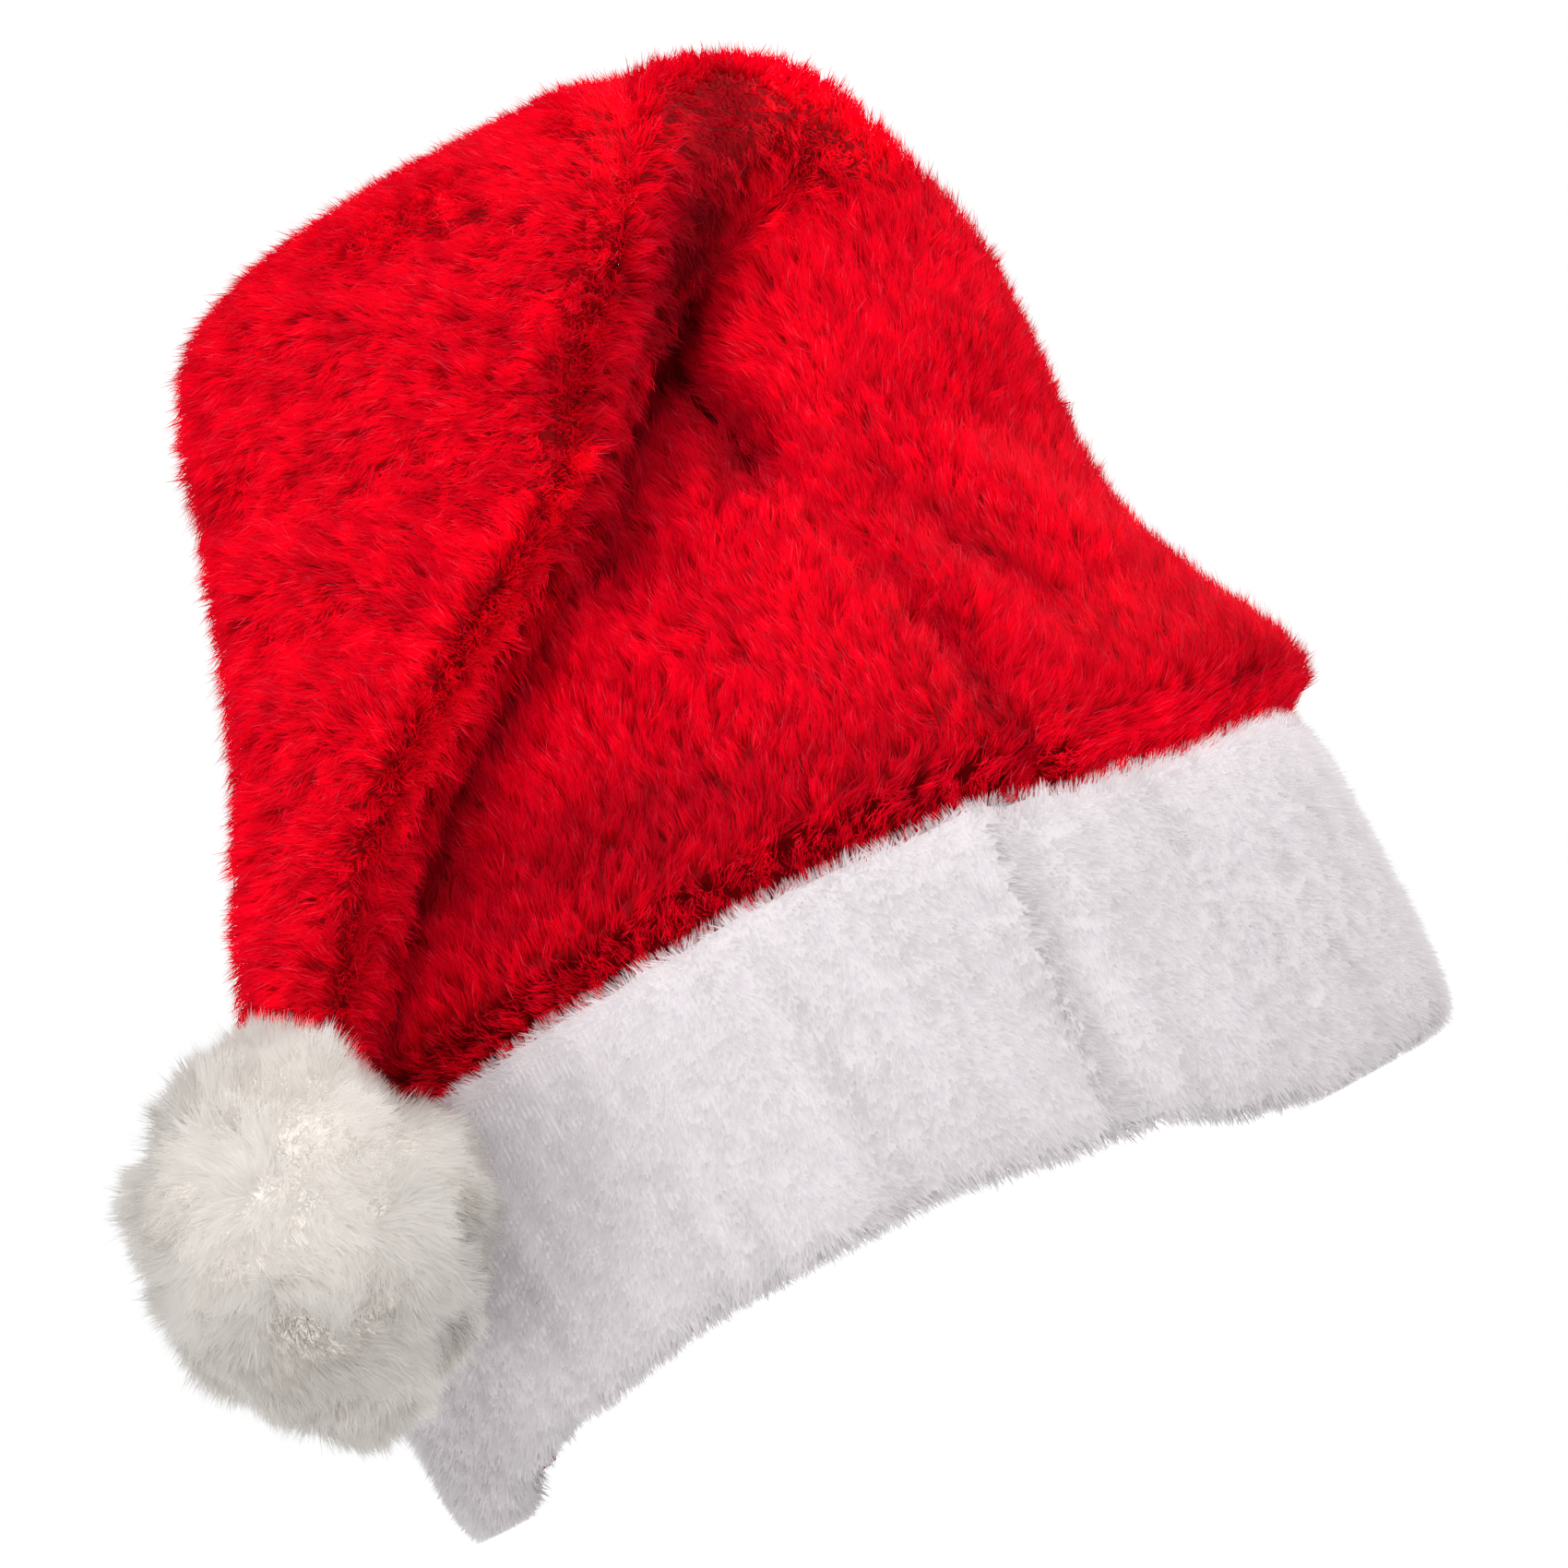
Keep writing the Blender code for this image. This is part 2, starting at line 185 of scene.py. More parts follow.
DENTS = (
    Dent(46.0, 182.0, 17.0, 13.0, -3.5),
    Dent(62.0, 158.0, 26.0, 12.0, 3.5),
    Dent(-8.0, 168.0, 16.0, 20.0, 2.5),
    Dent(8.0, 140.0, 12.0, 22.0, -2.5),
    Dent(-36.0, 152.0, 20.0, 34.0, 3.0),
    Dent(-150.0, 150.0, 30.0, 24.0, 3.0),
    Dent(110.0, 130.0, 24.0, 16.0, 3.0),
)

LOBES = (
    Lobe(-152.0, 38.5),
    Lobe(-130.0, 38.5),
    Lobe(-108.0, 38.0),
    Lobe(-80.0, 33.0),
    Lobe(-58.0, 37.0),
    Lobe(-35.0, 36.5),
    Lobe(-10.0, 41.0),
    Lobe(10.0, 43.0),
    Lobe(28.0, 40.0),
    Lobe(45.0, 34.0),
    Lobe(62.0, 30.0),
    Lobe(84.0, 39.0),
    Lobe(106.0, 36.5),
    Lobe(132.0, 36.5),
    Lobe(168.0, 39.8),
    Lobe(186.0, 43.0),
    Lobe(208.0, 38.5),
)

# The last column is painted shade along each fold, and painted light where it is below 0
FOLDS = (
    Fold(71.0, 249.0, 55.8, 231.0, 7.0, 4.0, 0.45),
    Fold(55.8, 231.0, 41.1, 214.0, 8.0, 5.0, 0.72),
    Fold(41.1, 214.0, 31.2, 198.8, 9.0, 4.0, 0.72),
    Fold(37.8, 204.4, 41.0, 175.5, 8.0, 3.0, 0.5),
    Fold(29.9, 197.2, 5.1, 171.9, 11.0, 3.0, 0.54),
    Fold(5.1, 171.9, -28.5, 151.3, 6.0, 2.0, 0.26),
    Fold(-23.9, 155.6, -56.8, 127.8, 6.0, 3.0, 0.55),
    Fold(-56.8, 127.8, -82.4, 102.9, 6.0, 3.0, 0.6),
    Fold(-61.5, 119.0, -7.1, 110.5, 14.0, 2.0, 0.3),
    Fold(-7.1, 110.5, 41.8, 100.3, 12.0, 2.0, 0.2),
    Fold(74.9, 98.6, 105.1, 91.6, 8.0, 0.0, 0.08),
    Fold(43.7, 176.3, 59.4, 124.9, 3.0, 1.5, 0.22),
    Fold(59.4, 124.9, 61.3, 90.0, 4.0, 3.0, 0.36),
    Fold(77.4, 163.0, 97.9, 124.9, 5.0, -2.5, -0.12),
    Fold(65.5, 153.4, 82.5, 117.2, 4.0, 2.0, 0.22),
    Fold(51.0, 254.0, 51.5, 237.9, 14.0, -1.5, -0.1),
    Fold(82.8, 237.1, 59.2, 188.5, 10.0, -2.0, -0.1),
    Fold(86.2, 247.7, 96.0, 227.8, 8.0, 0.0, -0.4),
    Fold(12.4, 194.1, -20.0, 176.6, 4.0, -1.5, -0.2),
    Fold(-20.0, 176.6, -55.3, 151.9, 4.0, -1.5, -0.2),
    Fold(37.0, 159.5, 36.4, 132.7, 12.0, -1.0, -0.12),
)

# Up the body the pile leans to the hat's right, and over the tail it sweeps away from the seam
LEFT_NAP = (
    Nap(0.0, 35.0, 20.0, -30.0),
    Nap(10.5, 40.0, 25.0, -30.0),
    Nap(12.5, 95.0, 75.0, 0.0),
    Nap(15.0, 90.0, 65.0, 0.0),
    Nap(18.0, 80.0, 50.0, -20.0),
    Nap(23.0, 80.0, 48.0, -30.0),
)

RIGHT_NAP = (
    Nap(0.0, 38.0, 22.0, -30.0),
    Nap(10.5, 30.0, 15.0, -35.0),
    Nap(12.5, 20.0, -25.0, -85.0),
    Nap(15.0, 20.0, -30.0, -85.0),
    Nap(18.0, 25.0, -15.0, -70.0),
    Nap(23.0, 30.0, 0.0, -60.0),
)


def linear_colour(hexadecimal: str) -> tuple[float, float, float, float]:
    """Turns an sRGB hex colour to linear light.

    Args:
        hexadecimal: six hex digits, such as "C8102E".

    Returns:
        Red, green, blue and an alpha of 1.
    """
    parts = [int(hexadecimal[i : i + 2], 16) / 255 for i in (0, 2, 4)]
    light = [p / 12.92 if p <= 0.04045 else ((p + 0.055) / 1.055) ** 2.4 for p in parts]
    return (light[0], light[1], light[2], 1.0)


def add_node(tree: bpy.types.NodeTree, kind: str, settings: dict, links: dict) -> bpy.types.Node:
    """Adds a node with its settings and links.

    Args:
        tree: the node tree it goes into.
        kind: the node's type name.
        settings: its own properties by name, and its inputs' values by name or number.
        links: the sockets that feed its inputs, by name or number.

    Returns:
        The new node.
    """
    node = tree.nodes.new(kind)
    for name, value in settings.items():
        if isinstance(name, int) or name in node.inputs:
            node.inputs[name].default_value = value
        else:
            setattr(node, name, value)
    for name, socket in links.items():
        tree.links.new(socket, node.inputs[name])
    return node


def set_inputs(node: bpy.types.Node, values: dict) -> None:
    """Sets a node's inputs by their names."""
    for name, value in values.items():
        node.inputs[name].default_value = value


def new_material(name: str) -> tuple[bpy.types.Material, bpy.types.NodeTree, bpy.types.Node]:
    """A new material, its node tree and its shader."""
    made = bpy.data.materials.new(name)
    made.use_nodes = True
    return made, made.node_tree, made.node_tree.nodes["Principled BSDF"]


def spline(table: tuple, places: Array) -> Array:
    """The table's columns at fractional row numbers, on a curve through its rows."""
    rows = np.array(table, float)
    last = len(rows) - 1
    padded = np.vstack([2 * rows[0] - rows[1], rows, 2 * rows[-1] - rows[-2]])
    row = np.clip(places.astype(int), 0, last - 1)
    t = (places - row)[:, None]
    before, here, after, beyond = (padded[row + step] for step in range(4))
    return (
        here
        + 0.5 * t * (after - before)
        + t**2 * (before - 2.5 * here + 2 * after - 0.5 * beyond)
        + 0.5 * t**3 * (3 * (here - after) + beyond - before)
    )


def smooth_step(share: Array) -> Array:
    """0 below 0, 1 above 1 and an S curve between."""
    share = np.clip(share, 0.0, 1.0)
    return share * share * (3 - 2 * share)


def unit(vectors: Array) -> Array:
    """The vectors at length 1, along their last axis."""
    return vectors / np.maximum(np.linalg.norm(vectors, axis=-1, keepdims=True), 1e-12)


def bent(wave: Array, bend: float) -> Array:
    """A wave's values raised to a power, each with its own sign, as a column."""
    return (np.sign(wave) * np.abs(wave) ** bend)[:, None]


def along_cloth(way: Array, out: Array) -> Array:
    """The part of a way that lies along the cloth."""
    return way - out * np.sum(way * out, 1)[:, None]


def waves(places: Array, length: float, seed: int, count: int = 24) -> Array:
    """A smooth random field of about unit size.

    Args:
        places: points in millimetres, one a row.
        length: about how far apart its crests are, in millimetres.
        seed: what makes this field differ from others.
        count: how many plane waves are added up.

    Returns:
        One value a point.
    """
    rng = np.random.default_rng(seed)
    ways = unit(rng.normal(size=(count, 3))) / (length * rng.uniform(0.7, 1.5, (count, 1)))
    phases = rng.uniform(0.0, 2 * np.pi, count)
    total = np.zeros(len(places))
    for way, phase in zip(ways, phases):
        total += np.sin(2 * np.pi * places @ way + phase)
    return total * math.sqrt(2.0 / count)


class Side(Enum):
    """Which of the crown's two panels."""

    LEFT = "crown_left"
    RIGHT = "crown_right"


@dataclass(frozen=True)
class PilePolyester:
    """Cut-pile polyester plush, knitted, sheared and brushed.

    Each fibre is a fine clear thread. Its colour runs from a dark root, painted shade for the shade
    between the roots, through its full colour along the fibre to a paler end, a painted highlight.
    Light passes on through the fibres, which is why plush looks soft and has hardly any hard shade.

    glint_share is the share of fibres whose ends take the glint colour, a painted highlight. tone
    is how far whole tufts differ in brightness, and fibre_tone how far single fibres do.
    """

    name: str
    root: str
    fibre: str
    end: str
    glint: str
    glint_share: float
    roughness: float
    shine: float
    sheen: float
    tone: float = 0.22
    fibre_tone: float = 0.25
    let_through: float = 0.5
    root_reach: float = 0.55
    end_reach: float = 0.5
    sheen_spread: float = 0.4
    ior: float = 1.55  # polyester is 1.54 to 1.64

    def colour(self, tree: bpy.types.NodeTree, fibre: bpy.types.NodeSocket) -> bpy.types.NodeSocket:
        """The colour from each fibre's root to its end: painted shade at the dark root, and a
        painted highlight on the paler end and on the glints.

        Args:
            tree: the material's nodes.
            fibre: each fibre's own number, from 0 to 1.

        Returns:
            The colour's socket.
        """
        along = {"Value": self.attribute(tree, "along")}
        up_root = add_node(tree, "ShaderNodeMapRange", {"From Max": self.root_reach}, along)
        near_end = add_node(tree, "ShaderNodeMapRange", {"From Min": self.end_reach}, along)
        few = {"operation": "LESS_THAN", 1: self.glint_share}
        glints = add_node(tree, "ShaderNodeMath", few, {0: fibre})
        both = {0: glints.outputs[0], 1: near_end.outputs[0]}
        on_ends = add_node(tree, "ShaderNodeMath", {"operation": "MULTIPLY"}, both)
        root, middle, end, glint = (
            linear_colour(shade) for shade in (self.root, self.fibre, self.end, self.glint)
        )
        pair = {"data_type": "RGBA", 6: root, 7: middle}
        shown = add_node(tree, "ShaderNodeMix", pair, {0: up_root.outputs[0]})
        for share, shade in ((near_end, end), (on_ends, glint)):
            links = {0: share.outputs[0], 6: shown.outputs[2]}
            shown = add_node(tree, "ShaderNodeMix", {"data_type": "RGBA", 7: shade}, links)
        return shown.outputs[2]

    def brightness(
        self, tree: bpy.types.NodeTree, fibre: bpy.types.NodeSocket
    ) -> bpy.types.NodeSocket:
        """How bright each fibre is, from its tuft's tone, its own tone and the painted shade that
        it carries.

        Args:
            tree: the material's nodes.
            fibre: each fibre's own number, from 0 to 1.

        Returns:
            The brightness's socket.
        """
        # Painted shade: the shade attribute darkens the colour, and where it is below 0 it makes it
        # paler as painted light
        less = {"operation": "MULTIPLY_ADD", 1: -1.0, 2: 1.0}
        whole = add_node(tree, "ShaderNodeMath", less, {0: self.attribute(tree, "shade")})
        for source, darker, paler in (
            (self.attribute(tree, "tuft"), self.tone, self.tone / 2),
            (fibre, self.fibre_tone / 2, self.fibre_tone / 2),
        ):
            ends = {"To Min": 1.0 - darker, "To Max": 1.0 + paler}
            tone = add_node(tree, "ShaderNodeMapRange", ends, {"Value": source})
            both = {0: whole.outputs[0], 1: tone.outputs[0]}
            whole = add_node(tree, "ShaderNodeMath", {"operation": "MULTIPLY"}, both)
        return whole.outputs[0]

    def attribute(self, tree: bpy.types.NodeTree, name: str) -> bpy.types.NodeSocket:
        """The socket of a number that the mesh keeps for each fibre's points."""
        return add_node(tree, "ShaderNodeAttribute", {"attribute_name": name}, {}).outputs["Fac"]

    def material(self) -> bpy.types.Material:
        """The pile's material, which reads each fibre's own attributes."""
        made = bpy.data.materials.get(self.name)
        if made:
            return made
        made, tree, shader = new_material(self.name)
        fibre = self.attribute(tree, "fibre")
        links = {"Color": self.colour(tree, fibre), "Value": self.brightness(tree, fibre)}
        toned = add_node(tree, "ShaderNodeHueSaturation", {}, links).outputs["Color"]
        tree.links.new(toned, shader.inputs["Base Color"])
        through = add_node(tree, "ShaderNodeBsdfTranslucent", {}, {"Color": toned})
        links = {1: shader.outputs["BSDF"], 2: through.outputs["BSDF"]}
        both = add_node(tree, "ShaderNodeMixShader", {0: self.let_through}, links)
        tree.links.new(both.outputs[0], tree.nodes["Material Output"].inputs["Surface"])
        finish = {
            "Roughness": self.roughness,
            "IOR": self.ior,
            "Specular IOR Level": self.shine,
            "Sheen Weight": self.sheen,
            "Sheen Roughness": self.sheen_spread,
            "Sheen Tint": linear_colour(self.glint),
        }
        set_inputs(shader, finish)
        return made


@dataclass(frozen=True)
class KnitBacking:
    """Warp-knitted polyester backing, which holds the pile and is the plain inner side.

    Fine ribs 1.2 mm apart and a slight mottle tell the eye that it is knitted and matt.
    """

    name: str
    rib: str
    groove: str
    rib_spacing: float = 1.2
    rib_tall: float = 0.2
    mottle_size: float = 9.0
    shine: float = 0.1
    roughness: float = 0.85
    ior: float = 1.5

    def material(self) -> bpy.types.Material:
        """The backing's material: ribs in its colour and its bump."""
        made = bpy.data.materials.get(self.name)
        if made:
            return made
        made, tree, shader = new_material(self.name)
        place = {"Vector": add_node(tree, "ShaderNodeTexCoord", {}, {}).outputs["Object"]}
        # A wave texture draws one band for each 2 pi / 20 of its scaled length
        scale = 2 * math.pi / 20 / (self.rib_spacing * MM)
        bands = {"bands_direction": "X", "Scale": scale, "Distortion": 1.5, "Detail": 2.0}
        ribs = add_node(tree, "ShaderNodeTexWave", bands, place).outputs["Fac"]
        spots = {"Scale": 1 / (self.mottle_size * MM), "Detail": 3.0}
        mottle = add_node(tree, "ShaderNodeTexNoise", spots, place).outputs["Fac"]
        both = {0: ribs, 1: mottle}
        share = add_node(tree, "ShaderNodeMath", {"operation": "MULTIPLY"}, both)
        pair = {"data_type": "RGBA", 6: linear_colour(self.groove), 7: linear_colour(self.rib)}
        colour = add_node(tree, "ShaderNodeMix", pair, {0: share.outputs[0]})
        relief = {"Strength": 0.5, "Distance": self.rib_tall * MM}
        bump = add_node(tree, "ShaderNodeBump", relief, {"Height": ribs})
        tree.links.new(colour.outputs[2], shader.inputs["Base Color"])
        tree.links.new(bump.outputs["Normal"], shader.inputs["Normal"])
        finish = {
            "Roughness": self.roughness,
            "IOR": self.ior,
            "Specular IOR Level": self.shine,
        }
        set_inputs(shader, finish)
        return made


# Each pile's darker root colour is painted shade, and its paler end and glint colours are painted
# highlight
RED_PLUSH = PilePolyester(
    name="polyester_plush_red_brushed",
    root="80000A",
    fibre="E2001C",
    end="F00030",
    glint="FF4A68",
    glint_share=0.06,
    roughness=0.6,
    shine=0.03,
    sheen=0.03,
)

WHITE_PLUSH = PilePolyester(
    name="polyester_plush_white_sheared",
    root="DEDADC",
    fibre="E6E2E4",
    end="EAE7E9",
    glint="FFFFFF",
    glint_share=0.03,
    roughness=0.8,
    shine=0.1,
    sheen=0.1,
    tone=0.02,
    fibre_tone=0.04,
)

POMPOM_PILE = PilePolyester(
    name="polyester_pompom_white_cut",
    root="DCD8D3",
    fibre="E4E0DC",
    end="E8E5E1",
    glint="FFFFFF",
    glint_share=0.03,
    roughness=0.8,
    shine=0.1,
    sheen=0.1,
    tone=0.03,
    fibre_tone=0.04,
)

# Both backings are darker than their pile: painted shade for the shade that the pile would cast on
# them, as its fibres cast none
RED_BACKING = KnitBacking(name="polyester_backing_red_knitted", rib="8C000A", groove="780008")
WHITE_BACKING = KnitBacking(name="polyester_backing_white_knitted", rib="CECACC", groove="C8C4C6")
POMPOM_CORE = KnitBacking(name="polyester_pompom_core_bound", rib="E4DFDA", groove="DED9D4")


@dataclass(frozen=True)
class PileCut:
    """How one stretch of pile is cut and combed, in millimetres and degrees.

    A tuft is a few fibres that start near each other and close up at their ends. stand is how
    steeply they leave the cloth, and lie how steep they are at their ends. Some of the fibres
    are the undercoat, which closes the pile: under_share is how many, and under_width and
    under_length are how wide they are and how long beside the others. softness is how far each
    fibre takes its shade from the cloth's own slope, as light does that spreads through deep
    pile. The last values are how far tufts and fibres differ from each other.
    """

    length: float
    width: float
    under_share: float
    under_width: float
    under_length: float
    softness: float
    fibres_in_tuft: int
    tuft_spread: float
    gather: float
    stand: float
    lie: float
    ruffle: float
    unevenness: float
    roll: float
    tuft_stand_range: float = 7.0
    fibre_stand_range: float = 6.0
    lie_range: float = 8.0
    stray: float = 0.07
    width_range: float = 0.3

    def tufts(self, triangles: int) -> int:
        """How many tufts a number of triangles is enough for, at two a fine fibre."""
        return int(triangles / (2 - self.under_share) / self.fibres_in_tuft)


RED_CUT = PileCut(
    length=7.2,
    width=0.26,
    under_share=0.62,
    under_width=0.62,
    under_length=0.92,
    softness=0.6,
    fibres_in_tuft=10,
    tuft_spread=1.9,
    gather=0.5,
    stand=58.0,
    lie=30.0,
    ruffle=16.0,
    unevenness=0.09,
    roll=24.0,
)

CUFF_CUT = PileCut(
    length=3.8,
    width=0.24,
    under_share=0.85,
    under_width=0.6,
    under_length=1.0,
    softness=0.98,
    fibres_in_tuft=5,
    tuft_spread=1.6,
    gather=0.0,
    stand=62.0,
    lie=38.0,
    ruffle=12.0,
    unevenness=0.06,
    roll=10.0,
)

POMPOM_CUT = PileCut(
    length=7.5,
    width=0.24,
    under_share=0.8,
    under_width=0.5,
    under_length=1.0,
    softness=0.95,
    fibres_in_tuft=10,
    tuft_spread=1.8,
    gather=0.25,
    stand=70.0,
    lie=46.0,
    ruffle=20.0,
    unevenness=0.09,
    roll=12.0,
)


@dataclass
class Roots:
    """Where tufts grow, in millimetres, with the ways out of the cloth and along its grid."""

    place: Array
    out: Array
    along: Array
    row_share: Array
    column_share: Array


@dataclass
class ClothGrid:
    """A grid of cloth points in millimetres, in rows and columns, seen from its pile side."""

    points: Array
    closed_rows: bool = False
    closed_columns: bool = False

    def ways(self) -> tuple[Array, Array, Array]:
        """The unit ways along the rows' order, across the columns' and out of the cloth."""
        rows, columns = self.points, self.points
        if self.closed_rows:
            rows = np.concatenate([rows[-1:], rows, rows[:1]])
        along = np.gradient(rows, axis=0)
        along = along[1:-1] if self.closed_rows else along
        if self.closed_columns:
            columns = np.concatenate([columns[:, -1:], columns, columns[:, :1]], axis=1)
        across = np.gradient(columns, axis=1)
        across = across[:, 1:-1] if self.closed_columns else across
        return unit(along), unit(across), unit(np.cross(across, along))

    def sample(self, count: int, weight: Array, rng: np.random.Generator) -> Roots:
        """Scatters tufts evenly over the cloth.

        Args:
            count: how many.
            weight: how dense each point of the grid is.
            rng: the source of chance.

        Returns:
            The tufts' roots.
        """
        height, width = self.points.shape[:2]
        rows = height if self.closed_rows else height - 1
        columns = width if self.closed_columns else width - 1
        low = np.arange(rows)[:, None], np.arange(columns)[None, :]
        high = (low[0] + 1) % height, (low[1] + 1) % width
        corner = self.points[low[0], low[1]]
        up_edge = self.points[high[0], low[1]] - corner
        side_edge = self.points[low[0], high[1]] - corner
        area = np.linalg.norm(np.cross(up_edge, side_edge), axis=2) * weight[:rows, :columns]
        running = np.cumsum(area.ravel())
        # Evenly spaced shares with a little chance in each keep the pile from clumping
        share = (np.arange(count) + rng.uniform(0.0, 1.0, count)) / count
        cell = np.minimum(np.searchsorted(running, share * running[-1]), area.size - 1)
        row, column = np.unravel_index(cell, area.shape)
        part_up, part_side = rng.uniform(0.0, 1.0, (2, count, 1))
        next_row, next_column = (row + 1) % height, (column + 1) % width

        def blended(values: Array) -> Array:
            """The grid's values at each tuft, between its cell's four corners."""
            below = values[row, column] * (1 - part_side) + values[row, next_column] * part_side
            above = (
                values[next_row, column] * (1 - part_side)
                + values[next_row, next_column] * part_side
            )
            return below * (1 - part_up) + above * part_up

        along, _, out = self.ways()
        return Roots(
            place=blended(self.points),
            out=unit(blended(out)),
            along=unit(blended(along)),
            row_share=(row + part_up[:, 0]) / rows,
            column_share=(column + part_side[:, 0]) / columns,
        )


def turned(way: Array, axis: Array, degrees: Array) -> Array:
    """Each way turned about its own axis, which it is square to."""
    angle = np.radians(degrees)[:, None]
    return way * np.cos(angle) + np.cross(axis, way) * np.sin(angle)


def to_metres(points: Array) -> Array:
    """The hat's own millimetres in metres, centred over the origin."""
    return (points + np.array(RIM_MIDDLE)) * MM


def mesh_piece(
    name: str, points: Array, faces: Array, finish: bpy.types.Material
) -> bpy.types.Object:
    """Makes a shown piece.

    Args:
        name: the piece's name.
        points: its points in the hat's own millimetres.
        faces: three or four point numbers a row.
        finish: its material.

    Returns:
        The new object.
    """
    mesh = bpy.data.meshes.new(name)
    sides = faces.shape[1]
    mesh.vertices.add(len(points))
    mesh.vertices.foreach_set("co", to_metres(points).astype(np.float32).ravel())
    mesh.loops.add(faces.size)
    mesh.loops.foreach_set("vertex_index", faces.astype(np.int32).ravel())
    mesh.polygons.add(len(faces))
    mesh.polygons.foreach_set("loop_start", np.arange(0, faces.size, sides, dtype=np.int32))
    mesh.polygons.foreach_set("use_smooth", np.ones(len(faces), bool))
    mesh.update(calc_edges=True)
    mesh.materials.append(finish)
    piece = bpy.data.objects.new(name, mesh)
    bpy.context.scene.collection.objects.link(piece)
    return piece


def grid_quads(height: int, width: int, closed: tuple[bool, bool]) -> Array:
    """The quads between a grid's points, which face its pile side.

    Args:
        height: how many rows it has.
        width: how many columns it has.
        closed: whether the rows and the columns run on round the grid.

    Returns:
        Four point numbers a quad.
    """
    rows = np.arange(height if closed[0] else height - 1)[:, None]
    columns = np.arange(width if closed[1] else width - 1)[None, :]
    row, next_row = rows * width, (rows + 1) % height * width
    next_column = (columns + 1) % width
    corners = (row + columns, row + next_column, next_row + next_column, next_row + columns)
    return np.stack(corners, 2).reshape(-1, 4)


def open_shell(
    name: str, outer: Array, inner: Array, finish: bpy.types.Material
) -> bpy.types.Object:
    """Makes a shell that is closed along its edges, from two open grids of the same size.

    Args:
        name: the piece's name.
        outer: the points of its pile side.
        inner: the points of its other side.
        finish: its material.

    Returns:
        The new object.
    """
    height, width = outer.shape[:2]
    below = height * width
    front = grid_quads(height, width, (False, False))
    faces = [front, front[:, ::-1] + below]
    in_row, in_column = np.arange(width - 1), np.arange(height - 1) * width
    for start, low, step, flip in (
        (0, in_row, 1, False),
        ((height - 1) * width, in_row, 1, True),
        (0, in_column, width, True),
        (width - 1, in_column, width, False),
    ):
        a, b = start + low, start + low + step
        strip = np.stack([a, a + below, b + below, b], 1)
        faces.append(strip[:, ::-1] if flip else strip)
    points = np.concatenate([outer.reshape(-1, 3), inner.reshape(-1, 3)])
    return mesh_piece(name, points, np.concatenate(faces), finish)


@dataclass
class FibreShape:
    """Fibres of one shape: their points, and the corners, tip shares and map places of each."""

    points: Array
    corners: tuple[tuple[int, int, int], ...]
    along: tuple[float, ...]
    on_map: tuple[tuple[float, float], ...]

    def faces(self, first: int) -> Array:
        """The fibres' triangles, numbered from the first point."""
        starts = first + np.arange(len(self.points)) * len(self.along)
        return (starts[:, None, None] + np.array(self.corners)).reshape(-1, 3)


@dataclass
class Fibres:
    """The fibres of one piece of pile, one a row, in millimetres.

    side is half of a fibre's width. light is the way it faces for its shade, tone its own
    number and its tuft's, and shade how much its colour is darkened: painted shade, with painted
    light below 0, and a random mottle.
    """

    root: Array
    middle: Array
    end: Array
    side: Array
    light: Array
    tone: Array
    under: Array
    shade: Array

    def shapes(self) -> tuple[FibreShape, FibreShape]:
        """The fine fibres, of two triangles each, and the undercoat, of one."""
        root, middle, end, side = self.root, self.middle, self.end, self.side
        fine = FibreShape(
            np.stack([root, middle - side, middle + side, end], 1)[~self.under],
            corners=((0, 2, 1), (1, 2, 3)),
            along=(0.0, 0.55, 0.55, 1.0),
            on_map=((0.5, 0.08), (0.12, 0.5), (0.88, 0.5), (0.5, 0.92)),
        )
        under = FibreShape(
            np.stack([root - side, root + side, end], 1)[self.under],
            corners=((0, 1, 2),),
            along=(0.1, 0.1, 0.9),
            on_map=((0.1, 0.1), (0.9, 0.1), (0.5, 0.9)),
        )
        return fine, under


@dataclass
class Combing:
    """How each tuft's pile differs from its cut: in degrees, and by how much painted shade darkens
    its colour.
    """

    turn: Array | float = 0.0
    stand: Array | float = 0.0
    shade: Array | float = 0.0


